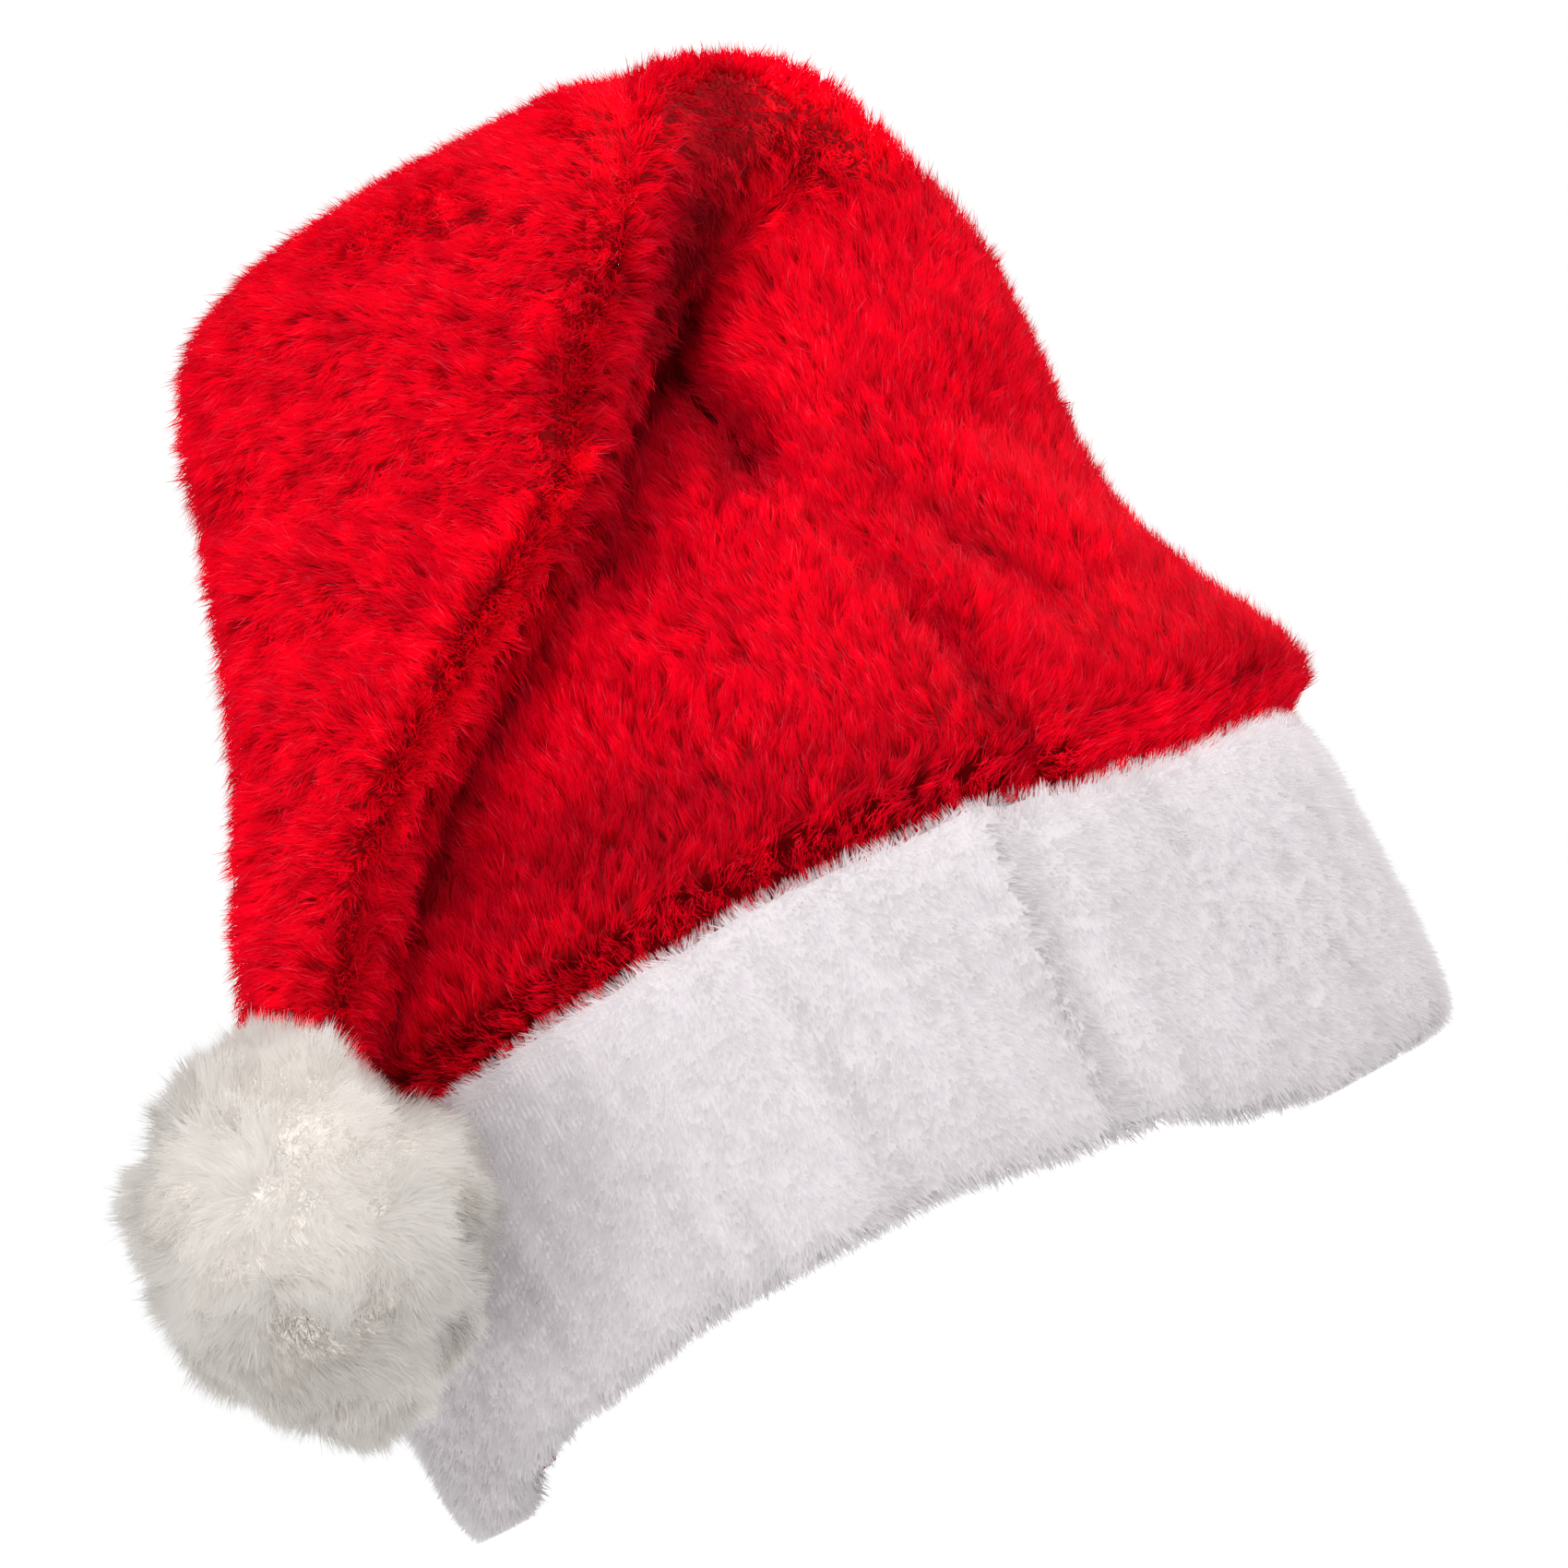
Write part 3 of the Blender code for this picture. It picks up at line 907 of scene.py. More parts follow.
def grown(
    roots: Roots, way: Array, cut: PileCut, combing: Combing, rng: np.random.Generator
) -> Fibres:
    """Grows fibres on roots.

    Args:
        roots: where the tufts grow.
        way: the way that each tuft lies, in the cloth's plane.
        cut: how the pile is cut and combed.
        combing: how each tuft differs from the cut.
        rng: the source of chance.

    Returns:
        The fibres.
    """
    tufts, each = len(roots.place), cut.fibres_in_tuft
    turn = rng.normal(0.0, 1.0, tufts) * (cut.ruffle + combing.turn)
    way = turned(way, roots.out, turn)
    stand = cut.stand + combing.stand + rng.normal(0.0, cut.tuft_stand_range, tufts)
    lie = cut.lie + combing.stand + rng.normal(0.0, cut.lie_range, tufts)
    tuft_length = cut.length * (1 + rng.normal(0.0, cut.unevenness, tufts))
    tuft_tone = rng.uniform(0.0, 1.0, tufts)
    out, way = np.repeat(roots.out, each, 0), np.repeat(way, each, 0)
    beside = np.cross(out, way)
    count = tufts * each
    under = rng.uniform(0.0, 1.0, count) < cut.under_share
    stand = np.repeat(stand, each) + rng.normal(0.0, cut.fibre_stand_range, count)
    lie = np.repeat(lie, each) + rng.normal(0.0, cut.lie_range, count)
    stand, lie = np.radians(stand)[:, None], np.radians(lie)[:, None]
    length = np.repeat(tuft_length, each) * (1 + rng.normal(0.0, cut.unevenness, count))
    half = (length * np.where(under, cut.under_length, 1.0))[:, None] / 2
    angle = rng.uniform(0.0, 2 * np.pi, count)[:, None]
    reach = cut.tuft_spread * np.sqrt(rng.uniform(0.0, 1.0, count))[:, None]
    offset = reach * (np.cos(angle) * way + np.sin(angle) * beside)
    root = np.repeat(roots.place, each, 0) + offset
    stray = rng.normal(0.0, cut.stray, (count, 3))
    # A fibre closes up on its tuft by 0.4 of the gather at its bend, and by the rest at its end
    middle = root + half * unit(np.cos(stand) * way + np.sin(stand) * out + stray)
    middle -= 0.4 * cut.gather * offset
    end = middle + half * unit(np.cos(lie) * way + np.sin(lie) * out + stray)
    end -= 0.6 * cut.gather * offset
    heading = unit(end - np.where(under[:, None], root, middle))
    flat = unit(np.cross(heading, out))
    roll = np.radians(rng.normal(0.0, cut.roll, count))[:, None]
    side = flat * np.cos(roll) + np.cross(flat, heading) * np.sin(roll)
    light = unit(cut.softness * out + (1 - cut.softness) * unit(np.cross(side, heading)))
    width_share = rng.uniform(1 - cut.width_range, 1 + cut.width_range, count)
    wide = np.where(under, cut.under_width, cut.width) * width_share
    return Fibres(
        root=root,
        middle=middle,
        end=end,
        side=side * wide[:, None] / 2,
        light=light,
        tone=np.column_stack([rng.uniform(0.0, 1.0, count), np.repeat(tuft_tone, each)]),
        under=under,
        shade=np.repeat(combing.shade + np.zeros(tufts), each),
    )


def pile_piece(name: str, fibres: Fibres, finish: PilePolyester) -> bpy.types.Object:
    """Makes one mesh of pile, with each fibre's own values for its material.

    Args:
        name: the piece's name.
        fibres: its fibres.
        finish: their finish.

    Returns:
        The new object.
    """
    shapes = fibres.shapes()
    points = np.concatenate([shape.points.reshape(-1, 3) for shape in shapes])
    points[:, 2] = np.maximum(points[:, 2], FLOOR_CLEARANCE)
    faces = np.concatenate([shapes[0].faces(0), shapes[1].faces(shapes[0].points.size // 3)])
    piece = mesh_piece(name, points, faces, finish.material())
    # Fine clear fibres hardly shade each other: the cloth under them casts the shadow
    piece.visible_shadow = False
    order = np.argsort(fibres.under, kind="stable")
    sizes = np.where(fibres.under, 3, 4)[order]
    mesh = piece.data
    mesh.normals_split_custom_set_from_vertices(np.repeat(fibres.light[order], sizes, 0))
    kept = {
        "along": np.concatenate([np.tile(shape.along, len(shape.points)) for shape in shapes]),
        "fibre": np.repeat(fibres.tone[order, 0], sizes),
        "tuft": np.repeat(fibres.tone[order, 1], sizes),
        "shade": np.repeat(fibres.shade[order], sizes),
    }
    for title, values in kept.items():
        attribute = mesh.attributes.new(title, "FLOAT", "POINT")
        attribute.data.foreach_set("value", values.astype(np.float32))
    lay_out_fibres(mesh, shapes)
    return piece


def lay_out_fibres(mesh: bpy.types.Mesh, shapes: tuple[FibreShape, ...]) -> None:
    """Gives each fibre a small square of its own on the map, root at the bottom, end at the top."""
    count = sum(len(shape.points) for shape in shapes)
    a_side = math.ceil(math.sqrt(count))
    corners, done = [], 0
    for shape in shapes:
        number = done + np.arange(len(shape.points))
        cell = np.stack([number % a_side, number // a_side], 1)[:, None]
        corners.append(((cell + np.array(shape.on_map)) / a_side).reshape(-1, 2))
        done += len(shape.points)
    place = np.concatenate(corners)
    order = np.zeros(len(mesh.loops), np.int32)
    mesh.loops.foreach_get("vertex_index", order)
    layer = mesh.uv_layers.new(name=BAKE_MAP)
    layer.uv.foreach_set("vector", place[order].astype(np.float32).ravel())


def dressed(piece: bpy.types.Object, replaced: tuple[str, ...] = ()) -> None:
    """Makes a piece ride with the hat, hides the parts that it replaces, and reports it."""
    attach(piece, "root")
    if replaced:
        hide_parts(*replaced)
    log.info("%s: %d faces", piece.name, len(piece.data.polygons))


def standing_height(height: Array, angle: Array) -> Array:
    """A height of the level hat as it stands on its arched rim."""
    fade_low, fade_high, cuff_tall = 84.0, 150.0, 74.0
    angles, lifts, rises = np.array(RIM).T
    around = (np.asarray(angle) + 180.0) % 360.0 - 180.0
    index = np.clip(np.searchsorted(angles, around, side="right") - 1, 0, len(RIM) - 2)
    share = smooth_step((around - angles[index]) / (angles[index + 1] - angles[index]))
    lift = lifts[index] + share * (lifts[index + 1] - lifts[index])
    rise = rises[index] + share * (rises[index + 1] - rises[index])
    fade = 1 - smooth_step((height - fade_low) / (fade_high - fade_low))
    return height + fade * (lift + rise * np.clip(height / cuff_tall, 0.0, 1.0))


def groove(distance: Array, wide: float) -> Array:
    """How much of a seam's depth is reached this far from it."""
    share = np.clip(distance / wide, 0.0, 1.0)
    return (1 - share) ** 2 * (1 + share)


def folds_at(points: Array, out: Array) -> tuple[Array, Array]:
    """How deep the folds are at each point of the front, and how much painted shade they give."""
    front = smooth_step((0.25 - out[..., 1]) / 0.5)
    deep, shade = np.zeros(front.shape), np.zeros(front.shape)
    for fold in FOLDS:
        start = np.array([fold.from_x, fold.from_z])
        step = np.array([fold.to_x, fold.to_z]) - start
        away = points[..., (0, 2)] - start
        share = np.clip(away @ step / (step @ step), 0.0, 1.0)
        distance = np.linalg.norm(away - share[..., None] * step, axis=-1)
        near = front * np.exp(-((distance / fold.wide) ** 2))
        deep += near * fold.deep
        shade = np.where(np.abs(near * fold.shade) > np.abs(shade), near * fold.shade, shade)
    return deep, shade


@dataclass
class CrownPanel:
    """One of the crown's two plush panels: its knitted backing and the pile on it.

    Depths, lengths and reaches are in millimetres. pile_shares says how many triangles the pile
    between two section places has. drifts are how far the nap wanders, in degrees, and over
    what length. doubled is how far the cloth may turn from the side that shows before its pile
    is turned back, and turn_back how strongly.
    """

    side: Side
    nap: tuple[Nap, ...]
    pile_shares: tuple[tuple[float, float, int], ...]
    seed: int
    columns: int = 96
    rows_a_section: int = 8
    seam_gap: float = 0.4
    seam_wide: float = 10.0
    seam_deep: float = 3.5
    seam_share: float = 0.16
    crowding: float = 0.6
    parting: float = 16.0
    skin_depth: float = 2.6
    backing_depth: float = 4.2
    allowance: float = 5.0
    allowance_share: float = 0.3
    upright: float = 24.0
    upright_reach: float = 3.5
    seam_density: float = 1.2
    density_reach: float = 2.0
    whorl: float = 22.0
    whorl_reach: float = 9.0
    drifts: tuple[tuple[float, float], ...] = ((18.0, 34.0), (12.0, 9.0))
    first_pile: float = 2.6
    last_pile: float = 22.6
    stands_below: float = 3.2
    stands_fade: float = 1.5
    upright_at_rim: float = 45.0
    rim_swell: float = 4.0
    rim_rise: float = 0.12
    rim_glow: float = 0.1
    doubled: float = 0.6
    turn_back: float = 3.0
    mottle: float = 0.06
    mottle_length: float = 7.0

    def ring(self, row: Array) -> tuple[Array, Array, Array]:
        """The panel's points on one ring, how far each is from a seam, and the ways out."""
        x, y, z, wide, deep, tilt, swing, power, seam_right, seam_back = row
        start, end = seam_right, seam_back
        if self.side is Side.LEFT:
            start, end = seam_back, seam_right + 360.0
        edges = np.radians([start, end])
        per_degree = np.radians(np.hypot(wide * np.cos(edges), deep * np.sin(edges)))
        first = start + self.seam_gap / 2 / per_degree[0]
        last = end - self.seam_gap / 2 / per_degree[1]
        even = np.linspace(0.0, 1.0, self.columns + 1)
        crowded = even - self.crowding * np.sin(2 * np.pi * even) / (2 * np.pi)
        angle = first + (last - first) * crowded
        lean, over, turn = math.radians(swing), math.radians(tilt), np.radians(angle)
        across = np.array([math.cos(lean), 0.0, -math.sin(lean)])
        down = np.array([math.sin(lean), 0.0, math.cos(lean)])
        front = -math.sin(over) * down - np.array([0.0, math.cos(over), 0.0])
        sine, cosine = np.sin(turn), np.cos(turn)
        points = np.array([x, y, z]) + wide * bent(sine, 2 / power) * across
        points += deep * bent(cosine, 2 / power) * front
        slope = 2 - 2 / power
        outward = unit(bent(sine, slope) / wide * across + bent(cosine, slope) / deep * front)
        on_body = float(1 - smooth_step(np.array(tilt / 40.0)))
        depth = np.zeros(len(points))
        for dent in DENTS:
            away = ((angle - dent.angle + 180.0) % 360.0 - 180.0) / dent.spread
            up = (points[:, 2] - dent.height) / dent.tall
            depth += on_body * dent.deep * np.exp(-(away**2) - up**2)
        points -= outward * depth[:, None]
        steps = np.linalg.norm(np.diff(points, axis=0), axis=1)
        length = np.concatenate([[0.0], np.cumsum(steps)])
        near = np.minimum(length, length[-1] - length)
        size = min(1.0, length[-1] * self.seam_share / self.seam_wide)
        points -= outward * (self.seam_deep * size * groove(near, self.seam_wide * size))[:, None]
        if on_body > 0:
            points[:, 2] = standing_height(points[:, 2], angle)
        return points, near, outward

    def grid(self) -> tuple[ClothGrid, Array, Array]:
        """The panel's outer face, each point's distance from a seam, and the ways in.

        Near a seam the ways in don't turn away from it, so the panels meet at any depth. Nor do
        they turn over where the cloth is doubled.
        """
        count = (len(SECTIONS) - 1) * self.rows_a_section + 1
        rows = spline(SECTIONS, np.linspace(0.0, len(SECTIONS) - 1, count))
        points, near, outward = (np.array(part) for part in zip(*map(self.ring, rows)))
        out = ClothGrid(points).ways()[2]
        points -= out * folds_at(points, out)[0][..., None]
        facing = ClothGrid(points).ways()[2]
        doubled = 1 - smooth_step(np.sum(facing * outward, 2) / 0.5)
        at_seam = np.maximum(1 - smooth_step(near / self.seam_wide), doubled)[..., None]
        inward = -unit(outward * at_seam + facing * (1 - at_seam))
        return ClothGrid(points), near, inward

    def nap_at(self, place: Array, from_start: Array, from_end: Array) -> Array:
        """The way of the pile in degrees, from its section place and distances to both seams."""
        table = np.array(self.nap)
        start, middle, end = (np.interp(place, table[:, 0], table[:, k]) for k in (1, 2, 3))
        by_start = np.exp(-from_start / self.parting)
        by_end = np.exp(-from_end / self.parting)
        return middle + (start - middle) * by_start + (end - middle) * by_end

    def at_rim(self, place: Array) -> Array:
        """How much of the rim's deep pile each section place has."""
        return 1 - smooth_step((place - self.stands_below) / self.stands_fade)

    def build_backing(self, grid: ClothGrid, inward: Array, half_width: Array) -> None:
        """Makes the knitted backing, with its seam allowances turned in along both edges.

        Args:
            grid: the panel's outer face.
            inward: the way into the cloth at each point.
            half_width: half the panel's width on each row.
        """
        across = grid.ways()[1]
        thick = self.backing_depth - self.skin_depth
        turned_in = np.minimum(self.allowance, self.allowance_share * half_width)[:, None]
        outer = grid.points + self.skin_depth * inward
        inner = grid.points + self.backing_depth * inward
        ends = []
        for edge, way in ((0, 1.0), (-1, -1.0)):
            step = way * thick * across[:, edge]
            down = turned_in * inward[:, edge]
            inner[:, edge] = outer[:, edge] + step + thick * inward[:, edge]
            ends.append((outer[:, edge] + down, outer[:, edge] + step + down))
        outer = np.concatenate([ends[0][0][:, None], outer, ends[1][0][:, None]], 1)
        inner = np.concatenate([ends[0][1][:, None], inner, ends[1][1][:, None]], 1)
        name = self.side.value
        backing = open_shell(f"{name}_backing", outer, inner, RED_BACKING.material())
        dressed(backing, (name,))

    def turn_to_light(self, roots: Roots, inward: Array, at_rim: Array) -> None:
        """Turns the tufts' ways out to where the light reaches them.

        Args:
            roots: the tufts' roots, which it changes.
            inward: the way into the cloth at each point of the panel.
            at_rim: how much of the rim's deep pile each tuft has.
        """
        # Where the cloth doubles over, its pile keeps to the side that shows
        rows = np.round(roots.row_share * (len(inward) - 1)).astype(int)
        shown = -inward[rows, np.round(roots.column_share * self.columns).astype(int)]
        agrees = np.sum(roots.out * shown, 1)[:, None]
        roots.out = unit(roots.out + shown * self.turn_back * np.maximum(self.doubled - agrees, 0))
        # Deep pile at the rim is lit as if it faced the front, because light spreads in it
        level_out = unit(roots.out * LEVEL + np.array([0.0, 0.0, self.rim_rise]))
        roots.out = unit(roots.out * (1 - at_rim[:, None]) + level_out * at_rim[:, None])

    def grow(
        self, roots: Roots, at: Array, at_rim: Array, width: Array, rng: np.random.Generator
    ) -> Fibres:
        """Grows one stretch of pile, combed along the nap.

        Args:
            roots: where its tufts grow.
            at: each tuft's section place.
            at_rim: how much of the rim's deep pile each tuft has.
            width: the panel's width at each tuft.
            rng: the source of chance.

        Returns:
            The fibres.
        """
        from_start = roots.column_share * width
        from_end = (1 - roots.column_share) * width
        from_seam = np.minimum(from_start, from_end)
        drift = sum(
            amount * waves(roots.place, length, self.seed + 50 + number)
            for number, (amount, length) in enumerate(self.drifts)
        )
        turn = self.nap_at(at, from_start, from_end) + drift
        way = turned(unit(along_cloth(roots.along, roots.out)), roots.out, -turn)
        raised = self.upright * np.exp(-from_seam / self.upright_reach)
        # Painted shade along the folds, painted light (rim_glow) on the rim's pile that faces the
        # front, and a random mottle, all in the fibres' colour
        shade = folds_at(roots.place, roots.out)[1]
        shade -= self.rim_glow * at_rim * smooth_step(-roots.out[:, 1] * 2)
        shade += self.mottle * waves(roots.place, self.mottle_length, self.seed + 52)
        combing = Combing(
            turn=self.whorl * np.exp(-from_seam / self.whorl_reach),
            stand=np.maximum(raised, self.upright_at_rim * at_rim),
            shade=shade,
        )
        return grown(roots, way, RED_CUT, combing, rng)

    def build(self) -> None:
        """Makes the backing, which stands for the CAD panel, and each stretch of pile."""
        grid, near, inward = self.grid()
        coarse = ClothGrid(grid.points[::2, ::2])
        self.build_backing(coarse, inward[::2, ::2], near.max(axis=1)[::2])
        sections = len(SECTIONS) - 1
        place = np.linspace(0.0, sections, len(near))[:, None]
        # The pile swells over the cuff's top edge, where the cloth goes in under it
        depth = self.skin_depth - self.rim_swell * self.at_rim(place)
        skin = ClothGrid(grid.points + depth[..., None] * inward)
        dense = 1.0 + self.seam_density * np.exp(-near / self.density_reach)
        for number, (low, high, triangles) in enumerate(self.pile_shares):
            rng = np.random.default_rng(self.seed + number)
            inside = (place >= max(low, self.first_pile)) & (place < min(high, self.last_pile))
            roots = skin.sample(RED_CUT.tufts(triangles), inside * dense, rng)
            at = roots.row_share * sections
            at_rim = self.at_rim(at)
            self.turn_to_light(roots, inward, at_rim)
            width = np.interp(at, place[:, 0], near.max(axis=1) * 2)
            fibres = self.grow(roots, at, at_rim, width, rng)
            pile = pile_piece(f"{self.side.value}_pile_{number + 1}", fibres, RED_PLUSH)
            dressed(pile)


@dataclass
class Cuff:
    """The white plush cuff: a closed band, its pile all round and its one sewn seam.

    crease is how near the seam the pile thins out, and seam_line and seam_shade how wide and
    how dark the painted shade along the seam's crease is. sweep_in is how far the pile turns in
    over the top edge.
    """

    wide: float = 122.0
    deep: float = 102.0
    thick: float = 13.0
    tall: float = 74.0
    rounding: float = 3.4
    stations: int = 440
    profile: int = 40
    seam_low: float = 23.5
    seam_high: float = 28.0
    seam_wide: float = 7.0
    seam_deep: float = 3.0
    skin_depth: float = 1.5
    crease: float = 2.6
    crease_density: float = 0.3
    seam_shade: float = 0.24
    seam_line: float = 0.9
    seam_parting: float = 35.0
    parting_reach: float = 7.0
    drift: float = 18.0
    drift_length: float = 30.0
    ripple: float = 0.16
    ripple_length: float = 12.0
    ripple_tall: float = 4.0
    ripple_shade: float = 0.025
    shade_length: float = 9.0
    edge: float = 12.0
    lift_at_top: float = 1.6
    sweep_at_top: float = 0.8
    triangles: int = 180000
    inner_share: float = 0.35
    seed: int = 71

    def grid(self) -> tuple[ClothGrid, Array]:
        """The band's face all round its section, and each point's distance from its seam."""
        turn = -np.linspace(0.0, 2 * np.pi, self.profile, endpoint=False)
        power = 2.0 / self.rounding
        out = bent(np.cos(turn), power)[:, 0] * self.thick / 2
        up = bent(np.sin(turn), power)[:, 0] * self.tall / 2
        seam = self.seam_low + (self.seam_high - self.seam_low) * (up / self.tall + 0.5)
        rows, near = [], []
        for angle in np.linspace(-180.0, 180.0, self.stations, endpoint=False):
            away = np.radians(np.abs(angle - seam)) * self.wide
            reach = out - np.where(out > 0, self.seam_deep * groove(away, self.seam_wide), 0.0)
            wide = self.wide - self.thick / 2 + reach
            deep = self.deep - self.thick / 2 + reach
            around = math.radians(angle)
            height = standing_height(up + self.tall / 2, np.full(len(up), angle))
            rows.append(
                np.column_stack([wide * math.sin(around), -deep * math.cos(around), height])
            )
            near.append(away)
        return ClothGrid(np.array(rows), closed_rows=True, closed_columns=True), np.array(near)

    def build_cloth(self, grid: ClothGrid, near: Array) -> ClothGrid:
        """Makes the band's knitted cloth, with its ripples, and gives its face."""
        flat = grid.points.reshape(-1, 3) * np.array([1.0, 1.0, 1 / self.ripple_tall])
        ripples = self.ripple * waves(flat, self.ripple_length, self.seed).reshape(near.shape)
        skin = grid.points + (ripples - self.skin_depth)[..., None] * grid.ways()[2]
        faces = grid_quads(self.stations, self.profile, (True, True))
        cloth = mesh_piece("cuff_cloth", skin.reshape(-1, 3), faces, WHITE_BACKING.material())
        dressed(cloth, ("cuff",))
        return ClothGrid(skin, closed_rows=True, closed_columns=True)

    def density(self, grid: ClothGrid, near: Array, skin: ClothGrid) -> Array:
        """How dense the pile is: thinner on the inner side and in the seam's crease."""
        level = grid.points[..., :2]
        outward = np.sum(skin.ways()[2][..., :2] * level, 2) / np.linalg.norm(level, axis=2)
        weight = self.inner_share + (1 - self.inner_share) * smooth_step(outward * 2 + 1)
        crease = smooth_step(near / self.crease)
        crease = self.crease_density + (1 - self.crease_density) * crease
        return weight * np.where(outward > 0, crease, 1.0)

    def grow(self, roots: Roots, rng: np.random.Generator) -> Fibres:
        """Grows the pile, which falls to the bottom edge and parts along the seam.

        Args:
            roots: where its tufts grow.
            rng: the source of chance.

        Returns:
            The fibres.
        """
        angle = np.degrees(np.arctan2(roots.place[:, 0], -roots.place[:, 1]))
        top = standing_height(np.full(len(angle), self.tall), angle)
        at_top = smooth_step(1 - (top - roots.place[:, 2]) / self.edge)[:, None]
        radial = unit(roots.place * LEVEL)
        down = np.array([0.0, 0.0, -1.0]) * (1 - self.lift_at_top * at_top)
        down = down + self.sweep_at_top * at_top * radial
        drift = self.drift * waves(roots.place, self.drift_length, self.seed + 3)
        slope = self.seam_high - self.seam_low
        from_seam = np.radians(angle - (self.seam_low + slope * 0.5)) * self.wide
        away = np.exp(-np.abs(from_seam) / self.parting_reach)
        parting = self.seam_parting * np.sign(from_seam) * away
        way = turned(unit(along_cloth(down, roots.out)), roots.out, drift + parting)
        seen = smooth_step(np.sum(roots.out * radial, 1) * 2)
        slant = np.radians(slope * (roots.place[:, 2] / top - 0.5)) * self.wide
        line = np.exp(-(((from_seam - slant) / self.seam_line) ** 2))
        upright = roots.place * np.array([1.0, 1.0, 0.12])
        # Painted shade: a dark line down the seam's crease, and faint upright bands for the shade
        # of the ripples
        shade = self.seam_shade * seen * line
        shade += self.ripple_shade * seen * waves(upright, self.shade_length, self.seed + 5)
        return grown(roots, way, CUFF_CUT, Combing(shade=shade), rng)

    def build(self) -> None:
        """Makes the band's cloth, which stands for the CAD cuff, and the pile on it."""
        grid, near = self.grid()
        skin = self.build_cloth(grid, near)
        rng = np.random.default_rng(self.seed)
        tufts = CUFF_CUT.tufts(self.triangles)
        fibres = self.grow(skin.sample(tufts, self.density(grid, near, skin), rng), rng)
        dressed(pile_piece("cuff_pile", fibres, WHITE_PLUSH))


@dataclass
class Pompom:
    """The pompom on the tail's tip: a tight core with long cut pile in lobes.

    fall is the way that its pile hangs, and wander how far that way wanders. raised is how much
    steeper, in degrees, the pile stands where it would part.
    """

    middle: tuple[float, float, float] = (-112.5, -101.5, 74.0)
    deep: float = 38.0
    rings: int = 72
    around: int = 110
    core_depth: float = 5.0
    lump: float = 1.7
    lump_length: float = 17.0
    fall: tuple[float, float, float] = (0.0, -0.1, -0.6)
    wander: float = 0.45
    wander_length: float = 17.0
    raised: float = 6.0
    parting: float = 0.4
    triangles: int = 110000
    seed: int = 91

    def radius(self, direction: Array) -> Array:
        """How far the pompom reaches in each direction."""
        lobes = np.array(LOBES)
        angle = np.degrees(np.arctan2(direction[:, 0], direction[:, 2]))
        angle = np.where(angle < lobes[0, 0], angle + 360.0, angle)
        index = np.searchsorted(lobes[:, 0], angle, side="right") - 1
        index = np.clip(index, 0, len(lobes) - 2)
        share = (angle - lobes[index, 0]) / (lobes[index + 1, 0] - lobes[index, 0])
        reach = lobes[index, 1] + smooth_step(share) * (lobes[index + 1, 1] - lobes[index, 1])
        reach += (self.deep - reach) * smooth_step(np.abs(direction[:, 1]))
        return reach + self.lump * waves(direction * self.deep, self.lump_length, self.seed)

    def build_core(self) -> ClothGrid:
        """Makes the core, which stands for the CAD pompom, and gives its face."""
        up = np.linspace(0.0, np.pi, self.rings)[:, None]
        turn = np.linspace(0.0, 2 * np.pi, self.around, endpoint=False)[None, :]
        # The poles lie along Y, where the lobes have no part
        ways = [np.sin(up) * np.cos(turn), -np.cos(up) + 0 * turn, np.sin(up) * np.sin(turn)]
        direction = np.stack(ways, 2).reshape(-1, 3)
        reach = self.radius(direction) - self.core_depth
        points = np.array(self.middle) + direction * reach[:, None]
        # Each pole is one point, so the quads there are triangles
        number = np.arange(len(points)).reshape(self.rings, self.around)
        number[0], number[-1] = number[0, 0], number[-1, 0]
        quads = number.ravel()[grid_quads(self.rings, self.around, (False, True))]
        faces = np.concatenate([quads[:, (2, 1, 0)], quads[:, (3, 2, 0)]])
        faces = faces[(faces != np.roll(faces, 1, axis=1)).all(axis=1)]
        used, faces = np.unique(faces, return_inverse=True)
        faces = faces.reshape(-1, 3)
        core = mesh_piece("pompom_core", points[used], faces, POMPOM_CORE.material())
        dressed(core, ("pompom",))
        return ClothGrid(points.reshape(self.rings, self.around, 3), closed_columns=True)

    def build(self) -> None:
        """Makes the core and the pile on it."""
        grid = self.build_core()
        rng = np.random.default_rng(self.seed)
        weight = np.ones((self.rings, self.around))
        roots = grid.sample(POMPOM_CUT.tufts(self.triangles), weight, rng)
        roots.out = unit(roots.place - np.array(self.middle))
        wander = [waves(roots.place, self.wander_length, self.seed + k) for k in (5, 6, 7)]
        fall = np.array(self.fall) + self.wander * np.stack(wander, 1)
        level = along_cloth(fall, roots.out)
        # The pile stands up where it would part, so no bare crown shows
        parted = np.exp(-((np.linalg.norm(level, axis=1) / self.parting) ** 2))
        combing = Combing(stand=self.raised * parted)
        fibres = grown(roots, unit(level), POMPOM_CUT, combing, rng)
        dressed(pile_piece("pompom_pile", fibres, POMPOM_PILE))


class SoftBox(NamedTuple):
    """A square area light: its place and size in metres, and its power in watts."""

    name: str
    place: tuple[float, float, float]
    size: float
    power: float


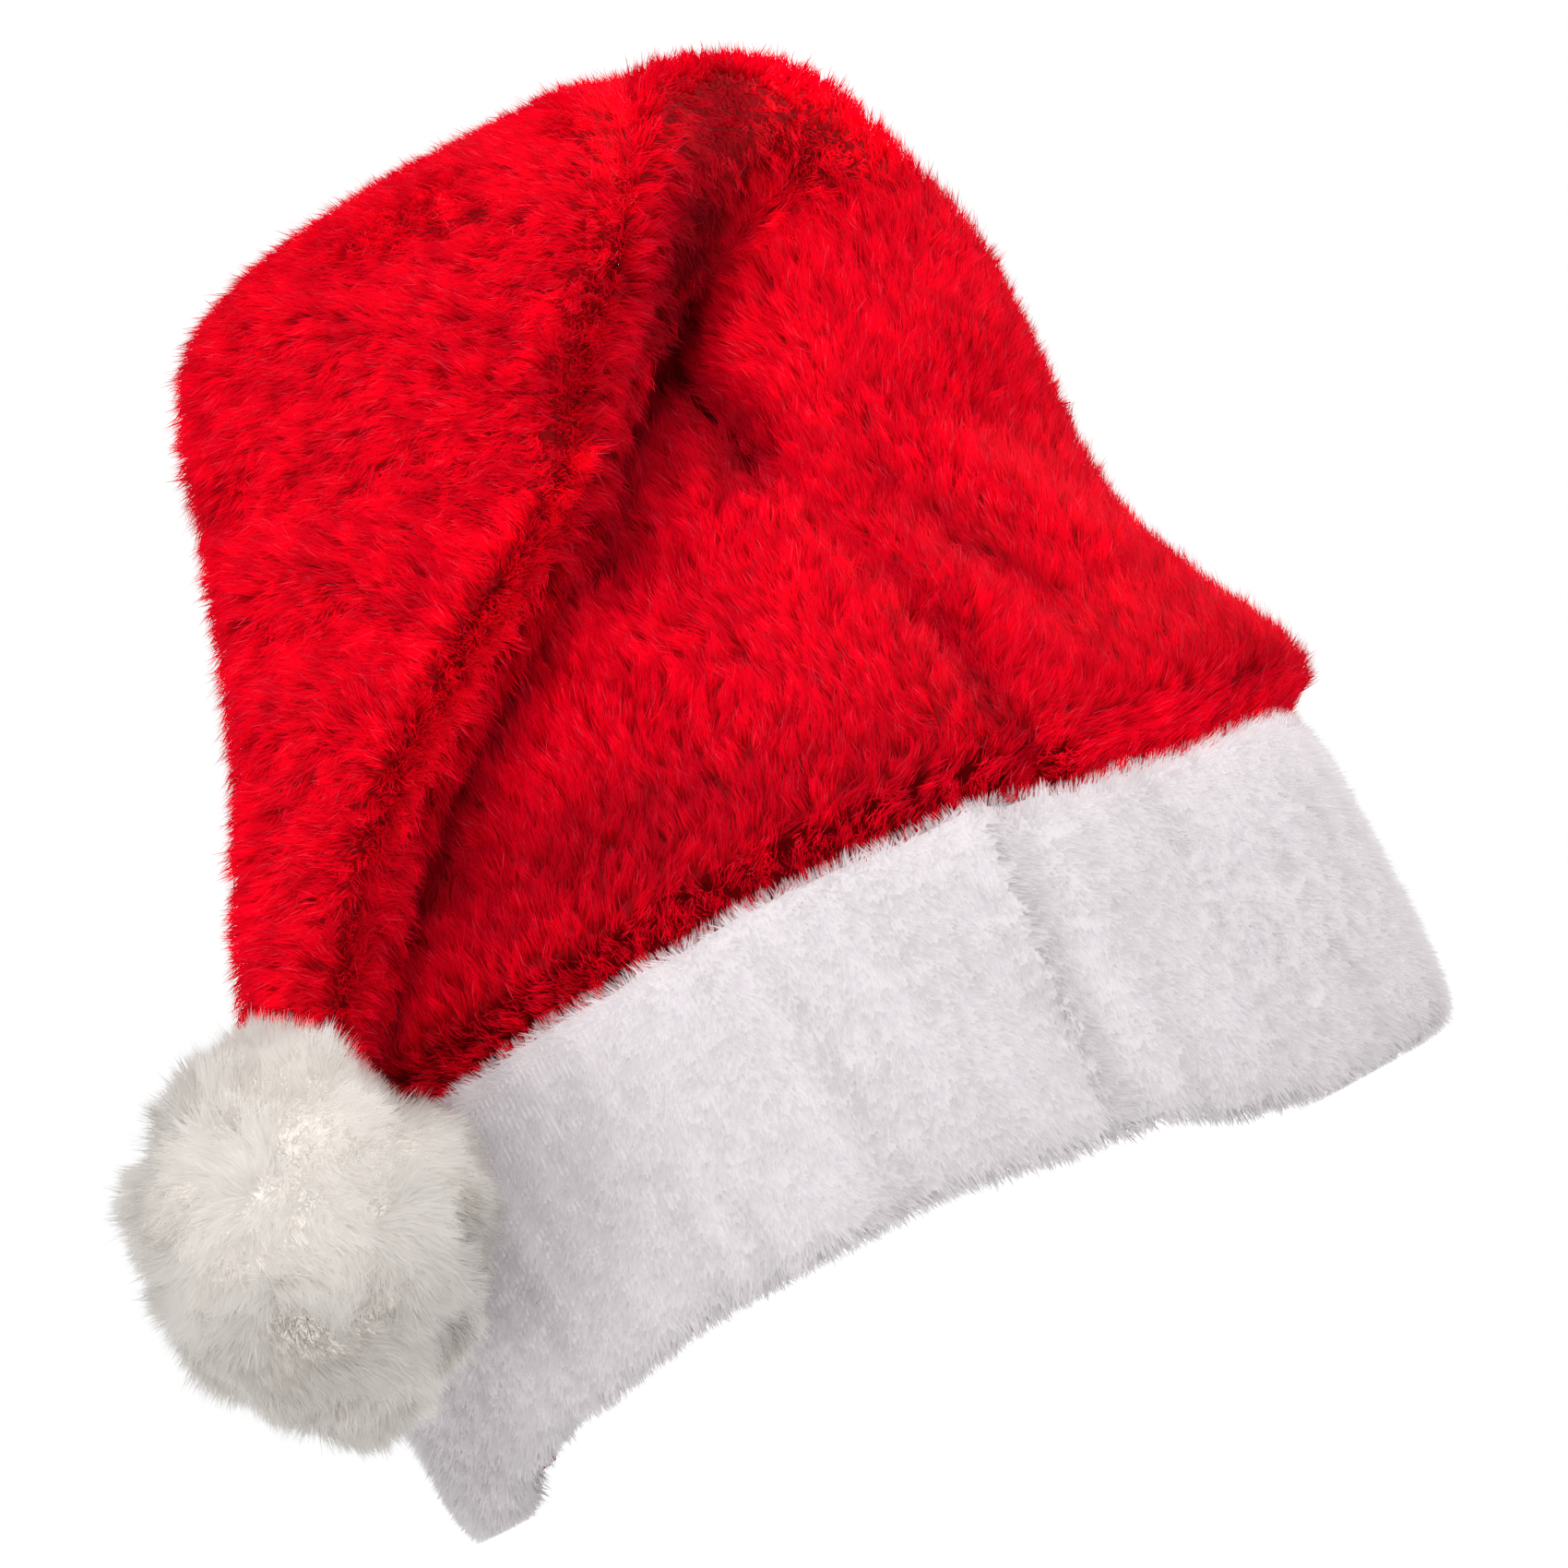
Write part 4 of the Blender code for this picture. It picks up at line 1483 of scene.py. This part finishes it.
@dataclass
class Studio:
    """The white sweep, the soft lights and the camera of a catalogue photograph.

    floor_half, aim_height and the soft boxes are in metres, and the camera's places and the
    width that it sees in millimetres.
    """

    boxes: tuple[SoftBox, ...] = (
        SoftBox("key", (0.35, -1.28, 1.1), 0.8, 17.0),
        SoftBox("fill", (-1.3, -0.9, 0.25), 0.7, 5.5),
        SoftBox("rim", (0.95, 0.45, 0.75), 0.5, 6.0),
    )
    aim_height: float = 0.12
    floor_half: float = 6.0
    eye: tuple[float, float, float] = (27.4, -1780.5, 25.0)
    target: tuple[float, float, float] = (27.4, 19.5, 114.4)
    roll: float = 28.0
    seen_wide: float = 340.0
    room_light: float = 0.92
    sensor: float = 36.0

    def build_floor(self) -> None:
        """A plain pale floor, so large that its edge can't be told from the backdrop."""
        half = self.floor_half
        corners = [(-half, -half, 0.0), (half, -half, 0.0), (half, half, 0.0), (-half, half, 0.0)]
        mesh = bpy.data.meshes.new("floor")
        mesh.from_pydata(corners, [], [(0, 1, 2, 3)])
        paper, _, shader = new_material("paper_sweep_white_matt")
        # Matt paper, lit from below as a light table is, so it shows white and takes no shade
        finish = {
            "Base Color": linear_colour("444444"),
            "Roughness": 0.9,
            "Specular IOR Level": 0.0,
            "Emission Color": linear_colour("FFFFFF"),
            "Emission Strength": 1.0,
        }
        set_inputs(shader, finish)
        mesh.materials.append(paper)
        floor = bpy.data.objects.new("floor", mesh)
        bpy.context.scene.collection.objects.link(floor)

    def build_light(self) -> None:
        """A white room and the soft boxes."""
        world = bpy.data.worlds.new("white_room")
        world.use_nodes = True
        tree = world.node_tree
        # The backdrop has lamps of its own, so it is brighter than the light that it gives
        seen = add_node(tree, "ShaderNodeLightPath", {}, {}).outputs["Is Camera Ray"]
        ends = {"To Min": self.room_light, "To Max": 1.0}
        strength = add_node(tree, "ShaderNodeMapRange", ends, {"Value": seen})
        background = tree.nodes["Background"]
        background.inputs["Color"].default_value = linear_colour("FFFFFF")
        tree.links.new(strength.outputs["Result"], background.inputs["Strength"])
        bpy.context.scene.world = world
        for box in self.boxes:
            self.build_box(box)
        bpy.context.scene.view_settings.view_transform = "Standard"

    def build_box(self, box: SoftBox) -> None:
        """A soft box, which faces the hat."""
        light = bpy.data.lights.new(box.name, "AREA")
        light.size = box.size
        light.energy = box.power
        lamp = bpy.data.objects.new(box.name, light)
        bpy.context.scene.collection.objects.link(lamp)
        lamp.location = box.place
        aim = Vector((0.0, 0.0, self.aim_height)) - lamp.location
        lamp.rotation_euler = aim.to_track_quat("-Z", "Y").to_euler()

    def build_camera(self) -> None:
        """The photograph's view: from the front, low, and rolled as the photo is turned."""
        eye, target = Vector(self.eye) * MM, Vector(self.target) * MM
        forward = (target - eye).normalized()
        right = Vector((1.0, 0.0, 0.0))
        up = right.cross(forward)
        cosine, sine = math.cos(math.radians(self.roll)), math.sin(math.radians(self.roll))
        rolled_right = cosine * right - sine * up
        rolled_up = sine * right + cosine * up
        data = bpy.data.cameras.new("photo_view")
        data.sensor_width = self.sensor
        data.lens = self.sensor * (target - eye).length / (self.seen_wide * MM)
        camera = bpy.data.objects.new("photo_view", data)
        bpy.context.scene.collection.objects.link(camera)
        axes = Matrix((rolled_right, rolled_up, -forward)).transposed()
        camera.matrix_world = Matrix.Translation(eye) @ axes.to_4x4()
        bpy.context.scene.camera = camera

    def build(self) -> None:
        """Sets up the floor, the lights and the camera."""
        self.build_floor()
        self.build_light()
        self.build_camera()


def main() -> None:
    """Builds the hat's pieces in order, and the studio round them."""
    logging.basicConfig(level=logging.INFO, format="%(message)s")
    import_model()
    right_shares = ((0.0, 12.0, 190000), (12.0, 23.0, 62000))
    left_shares = ((0.0, 12.0, 166000), (12.0, 23.0, 156000))
    CrownPanel(Side.RIGHT, RIGHT_NAP, right_shares, seed=11).build()
    CrownPanel(Side.LEFT, LEFT_NAP, left_shares, seed=31).build()
    Cuff().build()
    Pompom().build()
    Studio().build()


if __name__ == "__main__":
    main()
